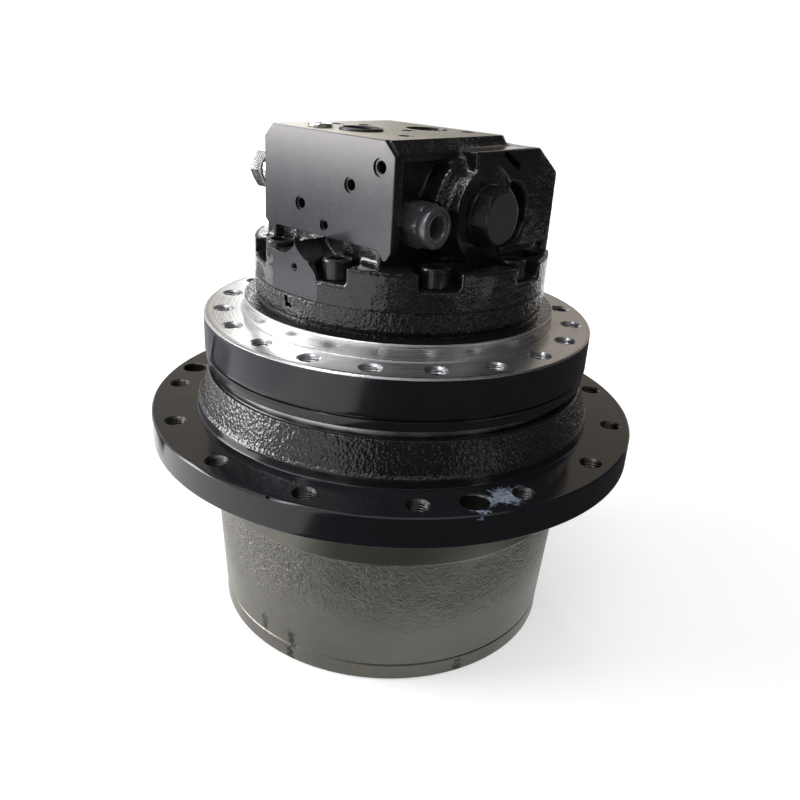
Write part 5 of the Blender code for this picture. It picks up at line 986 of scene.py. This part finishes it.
def makeFittings(settings):
    for number, screw in enumerate(spread(capScrew(**settings["screw"]), **blockScrews, height=308.8), 1):
        made = pieceFrom(f"blockScrew{number}", [screw])
        dressed(made, [oxideBlack], None, "fixed_side", [f"port_block_screw_{number}"])

    def plugEnd(spot, normal):
        return int(abs((blockSpace.inverted() @ spot).x) > 98.2)

    for name, node, way in (("counterbalancePlug", "counterbalance_plug", alongX),
                            ("counterbalanceBackPlug", "counterbalance_back_plug", alongMinusX)):
        rings = ringsOf([(15, 60.5), (15.9, 61.5), (15.9, 83.2), (21.5, 83.3), (22.3, 84.0), (22.3, 85.6),
                         (21.6, 86.3)])
        rings += hexagonHead(38.0, 86.3, 98.3)
        made = pieceFrom(name, [movedShape(loft(rings), shift(0, *valveAxis) @ way @ turnAbout(-20))], blockSpace)
        dressed(made, [oxideBlack, plugBlack], plugEnd, "fixed_side", [node])

    rings = ringsOf([(9, 36.5), (10, 37.5), (10, 54.3), (12.6, 54.3), (13, 54.8), (13, 82.2), (12.4, 83), (12.4, 84.3)])
    rings += hexagonHead(27.0, 84.3, 96.0)
    made = pieceFrom("reliefValvePlug", [movedShape(loft(rings), shift(0, -61, 366.3) @ alongMinusX @ turnAbout(30))],
                     blockSpace)
    dressed(made, [zincBright], None, "fixed_side", ["relief_valve_plug"])

    rings = ringsOf([(11, 40.6), (11, 54.3)])
    rings += [hexagonRing(flats, height, 96, most) for flats, height, most in
              ((29.2, 54.3, 16.6), (29.6, 54.7, 17), (29.6, 70.4, 17), (29.6, 71.8, 15.4))]
    rings += ringsOf([(13.4, 72.2), (13.4, 73.2), (14.3, 73.9), (14.8, 74.4), (14.8, 78.0), (14.4, 78.8), (13.6, 79.2),
                      (11.6, 79.2), (11.3, 78.4), (10.7, 78.4), (10.4, 79.0), (8.8, 79.0), (7.8, 77.8), (7.8, 46.0)])
    made = pieceFrom("drainFitting", [movedShape(loft(rings), shift(0, -54.5, 347.6) @ alongX @ turnAbout(30))],
                     blockSpace)
    dressed(made, [gunmetal], None, "fixed_side", ["drain_fitting"])

    rings = ringsOf([(5.5, -12), (6.5, -11), (6.5, 0), (8.7, 0), (9, 0.4), (9, 1.6), (8.3, 2.4), (5.2, 2.4)], 72)
    rings += [hexagonRing(8, 1.8, 72), hexagonRing(8, -3, 72), circle(1, -4, 72)]
    made = pieceFrom("topPortPlug", [movedShape(loft(rings), shift(-27, -66, 403.8))], blockSpace)
    dressed(made, [zincBright], None, "fixed_side", ["top_port_plug"])

    ring = softened([(12.9, -1.55, 0.6), (15.7, -1.55, 0.6), (15.8, 1.9, 1.2), (13.0, 1.9, 1.2)])
    made = pieceFrom("mainPortRing", [movedShape(turned(ring, 120), shift(0, -51.5, 403.5))], blockSpace)
    dressed(made, [sealRubber], None, "fixed_side")


makeFittings(blockFittings)
print("screws, plugs and drain fitting made")

# the hidden pieces keep their solids and get their own finish
hiddenFinishes = {
    bearingSteel: ["bearing_inner_ring", "bearing_outer_ring", "bearing_balls", "front_bearing", "rear_bearing",
                   "motor_shaft", "brake_piston", "counterbalance_spool"],
    gearSteel: ["seal_ring", "output_carrier", "planet_pin", "planet_gear", "sun_gear", "input_carrier",
                "cylinder_block", "swash_plate", "brake_steel_plate"],
    oxideBlack: ["bearing_nut"],
    valveBronze: ["valve_plate"],
    brakeLining: ["brake_friction_disc"],
}
for finish, words in hiddenFinishes.items():
    for name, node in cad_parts.items():
        if not node.hide_render and any(word in name for word in words):
            node.data.materials.clear()
            node.data.materials.append(finish)
print("hidden pieces finished")

# plain studio: pale floor, white surroundings and three soft lamps
studio = {
    "floorColour": (0.8, 0.8, 0.8),
    "floorGlow": 0.55,
    "ambient": 0.34,
    "lamps": {
        "leftWindow": {"place": (-1.7, -0.12, 0.63), "size": (0.9, 0.85), "roll": -10, "watts": 33,
                       "colour": (1.0, 0.955, 0.965)},
        "backLeftWindow": {"place": (-0.36, 1.9, 1.05), "size": (0.28, 0.7), "watts": 3.4, "colour": (1.0, 1.0, 1.0)},
        "topPanel": {"place": (0.1, -0.5, 1.9), "size": (1.4, 1.4), "watts": 8, "dull": True,
                     "colour": (1.0, 0.99, 0.97)},
    },
    # painted reflections: cards that only the gloss paint and the steel see, never the camera, the shadows or the
    # diffuse light: dark flags, tan walls, dark, grey and pale sheets on the floor, and two bright cards that paint
    # glints
    "cards": {
        "backFlag": {"place": (0.03, 1.7, 1.22), "size": (0.5, 1.05), "colour": (0.08, 0.08, 0.09)},
        "tanShelf": {"place": (0.6, 1.72, 1.0), "size": (0.64, 1.3), "colour": (0.42, 0.37, 0.31)},
        "rightFlag": {"place": (1.4, -0.05, 0.6), "size": (2.1, 1.5), "colour": (0.03, 0.03, 0.035)},
        "frontFlag": {"place": (0.35, -1.5, 0.6), "size": (1.9, 1.3), "colour": (0.03, 0.03, 0.035)},
        "ceilingFlag": {"place": (0.35, 0.1, 1.6), "size": (2.0, 2.2), "colour": (0.05, 0.05, 0.05)},
        "frontDarkReflection": {"place": (0.45, -0.82, 0.004), "size": (1.3, 1.2), "up": True, "colour": (0.04, 0.04, 0.045)},
        "rightDarkReflection": {"place": (0.85, 0.2, 0.004), "size": (1.2, 1.3), "up": True, "colour": (0.04, 0.04, 0.045)},
        "tanWall": {"place": (1.25, 1.3, 0.6), "size": (1.0, 1.3), "colour": (0.42, 0.35, 0.27)},
        "tanDoor": {"place": (-0.98, 1.7, 0.9), "size": (0.95, 1.3), "colour": (0.5, 0.45, 0.38)},
        "leftCeiling": {"place": (-1.5, 0.35, 1.5), "size": (1.2, 0.8), "colour": (0.06, 0.06, 0.065)},
        "tubeGlintCard": {"place": (-0.6, -0.5, 1.5), "size": (0.1, 1.4), "colour": (14, 14, 15)},
        "skylightGlintCard": {"place": (-0.62, 0.2, 1.32), "size": (0.28, 0.36), "colour": (12, 12, 13)},
        "backLeftGreyReflection": {"place": (-0.6, 0.72, 0.004), "size": (0.7, 0.6), "up": True, "colour": (0.45, 0.45, 0.46)},
        "nearLeftDarkReflection": {"place": (-0.6, 0.26, 0.004), "size": (0.38, 0.3), "up": True, "colour": (0.04, 0.04, 0.045)},
        "farLeftBlueReflection": {"place": (-1.75, 0.38, 0.005), "size": (0.95, 1.2), "up": True, "colour": (0.3, 0.33, 0.42)},
        "paleStripReflection": {"place": (-0.85, -0.1, 0.004), "size": (0.5, 0.9), "up": True, "colour": (1.3, 1.35, 1.4)},
    },
}


def aimed(thing, place, target=(0, 0, 0.22), roll=0.0):
    thing.location = place
    facing = (Vector(target) - Vector(place)).to_track_quat("-Z", "Y").to_matrix()
    thing.rotation_euler = (facing @ Matrix.Rotation(math.radians(roll), 3, "Z")).to_euler()


# 1 for what the camera, gloss and glass see, 0 for the light that falls on the drive
def seenRays(finish):
    path = nodeOf(finish, "LightPath")
    seen = mathOf(finish, "MAXIMUM", path.outputs["Is Camera Ray"], path.outputs["Is Glossy Ray"])
    return mathOf(finish, "MAXIMUM", seen, path.outputs["Is Transmission Ray"])


def makeStudio(settings):
    floor = pieceFrom("floor", [turned([(4000, -6.0), (4000, -0.02)], 96, False)])
    paint, shader = newFinish("paleFloor", settings["floorColour"], 0.9, 0.0, 0.1)
    mottle = grainOf(paint, coordsOf(paint), 8, 2)
    pale = settings["floorColour"]
    link(paint, colourMix(paint, mottle, pale, tuple(value * 0.985 for value in pale)), shader, "Base Color")
    shader.inputs["Emission Color"].default_value = (1, 1, 1, 1)
    plain = nodeOf(paint, "TexCoord").outputs["Object"]
    away = nodeOf(paint, "VectorMath", {0: plain}, operation="LENGTH").outputs["Value"]
    glow = rangeOf(paint, away, 0.25, 1.3, settings["floorGlow"], 1.0, True)
    link(paint, mathOf(paint, "MULTIPLY", seenRays(paint), glow), shader, "Emission Strength")
    floor.data.materials.append(paint)

    world = bpy.data.worlds.new("studioWorld")
    bpy.context.scene.world = world
    world.use_nodes = True
    background = world.node_tree.nodes["Background"]
    background.inputs["Color"].default_value = (1, 1, 1, 1)
    link(world, rangeOf(world, seenRays(world), 0, 1, settings["ambient"], 1.0), background, "Strength")

    for name, lamp in settings["lamps"].items():
        light = bpy.data.lights.new(name, "AREA")
        light.shape = "RECTANGLE"
        light.size, light.size_y = lamp["size"]
        light.energy = lamp["watts"]
        light.color = lamp["colour"]
        holder = bpy.data.objects.new(name, light)
        bpy.context.scene.collection.objects.link(holder)
        aimed(holder, lamp["place"], roll=lamp.get("roll", 0.0))
        holder.visible_glossy = not lamp.get("dull", False)

    for name, card in settings["cards"].items():
        width, height = card["size"][0] * 500, card["size"][1] * 500
        sheet = pieceFrom(name, [boxShape((-width, -height, -1), (width, height, 1))])
        sheet.location = card["place"]
        if not card.get("up"):
            aimed(sheet, card["place"])
        cover, shader = newFinish(name, (0.01, 0.01, 0.01), 1.0, 0.0, 0.0)
        shader.inputs["Emission Color"].default_value = (*card["colour"], 1)
        shader.inputs["Emission Strength"].default_value = 1.0
        sheet.data.materials.append(cover)
        # the cards show only in gloss reflections: painted reflections and glints, not lamps
        sheet.visible_camera = False
        sheet.visible_shadow = False
        sheet.visible_diffuse = False


makeStudio(studio)

# camera where the photographer stood, tilted a little to the right
photoView = {"place": (0.0064, -0.6379, 0.4541), "lookingDown": 23.279, "roll": 3.663, "lens": 36.019}


def makeCamera(settings):
    down = math.radians(settings["lookingDown"])
    roll = math.radians(settings["roll"])
    right = Vector((math.cos(roll), math.sin(roll) * math.sin(down), math.sin(roll) * math.cos(down)))
    up = -Vector((math.sin(roll), -math.cos(roll) * math.sin(down), -math.cos(roll) * math.cos(down)))
    back = -Vector((0, math.cos(down), -math.sin(down)))
    view = Matrix((right, up, back)).transposed().to_4x4()
    view.translation = Vector(settings["place"])
    lens = bpy.data.cameras.new("photoCamera")
    lens.lens = settings["lens"]
    lens.sensor_width = 36.0
    lens.clip_start = 0.05
    camera = bpy.data.objects.new("photoCamera", lens)
    bpy.context.scene.collection.objects.link(camera)
    camera.matrix_world = view
    bpy.context.scene.camera = camera


makeCamera(photoView)
bpy.context.scene.view_settings.view_transform = "Standard"
print("studio and camera ready")
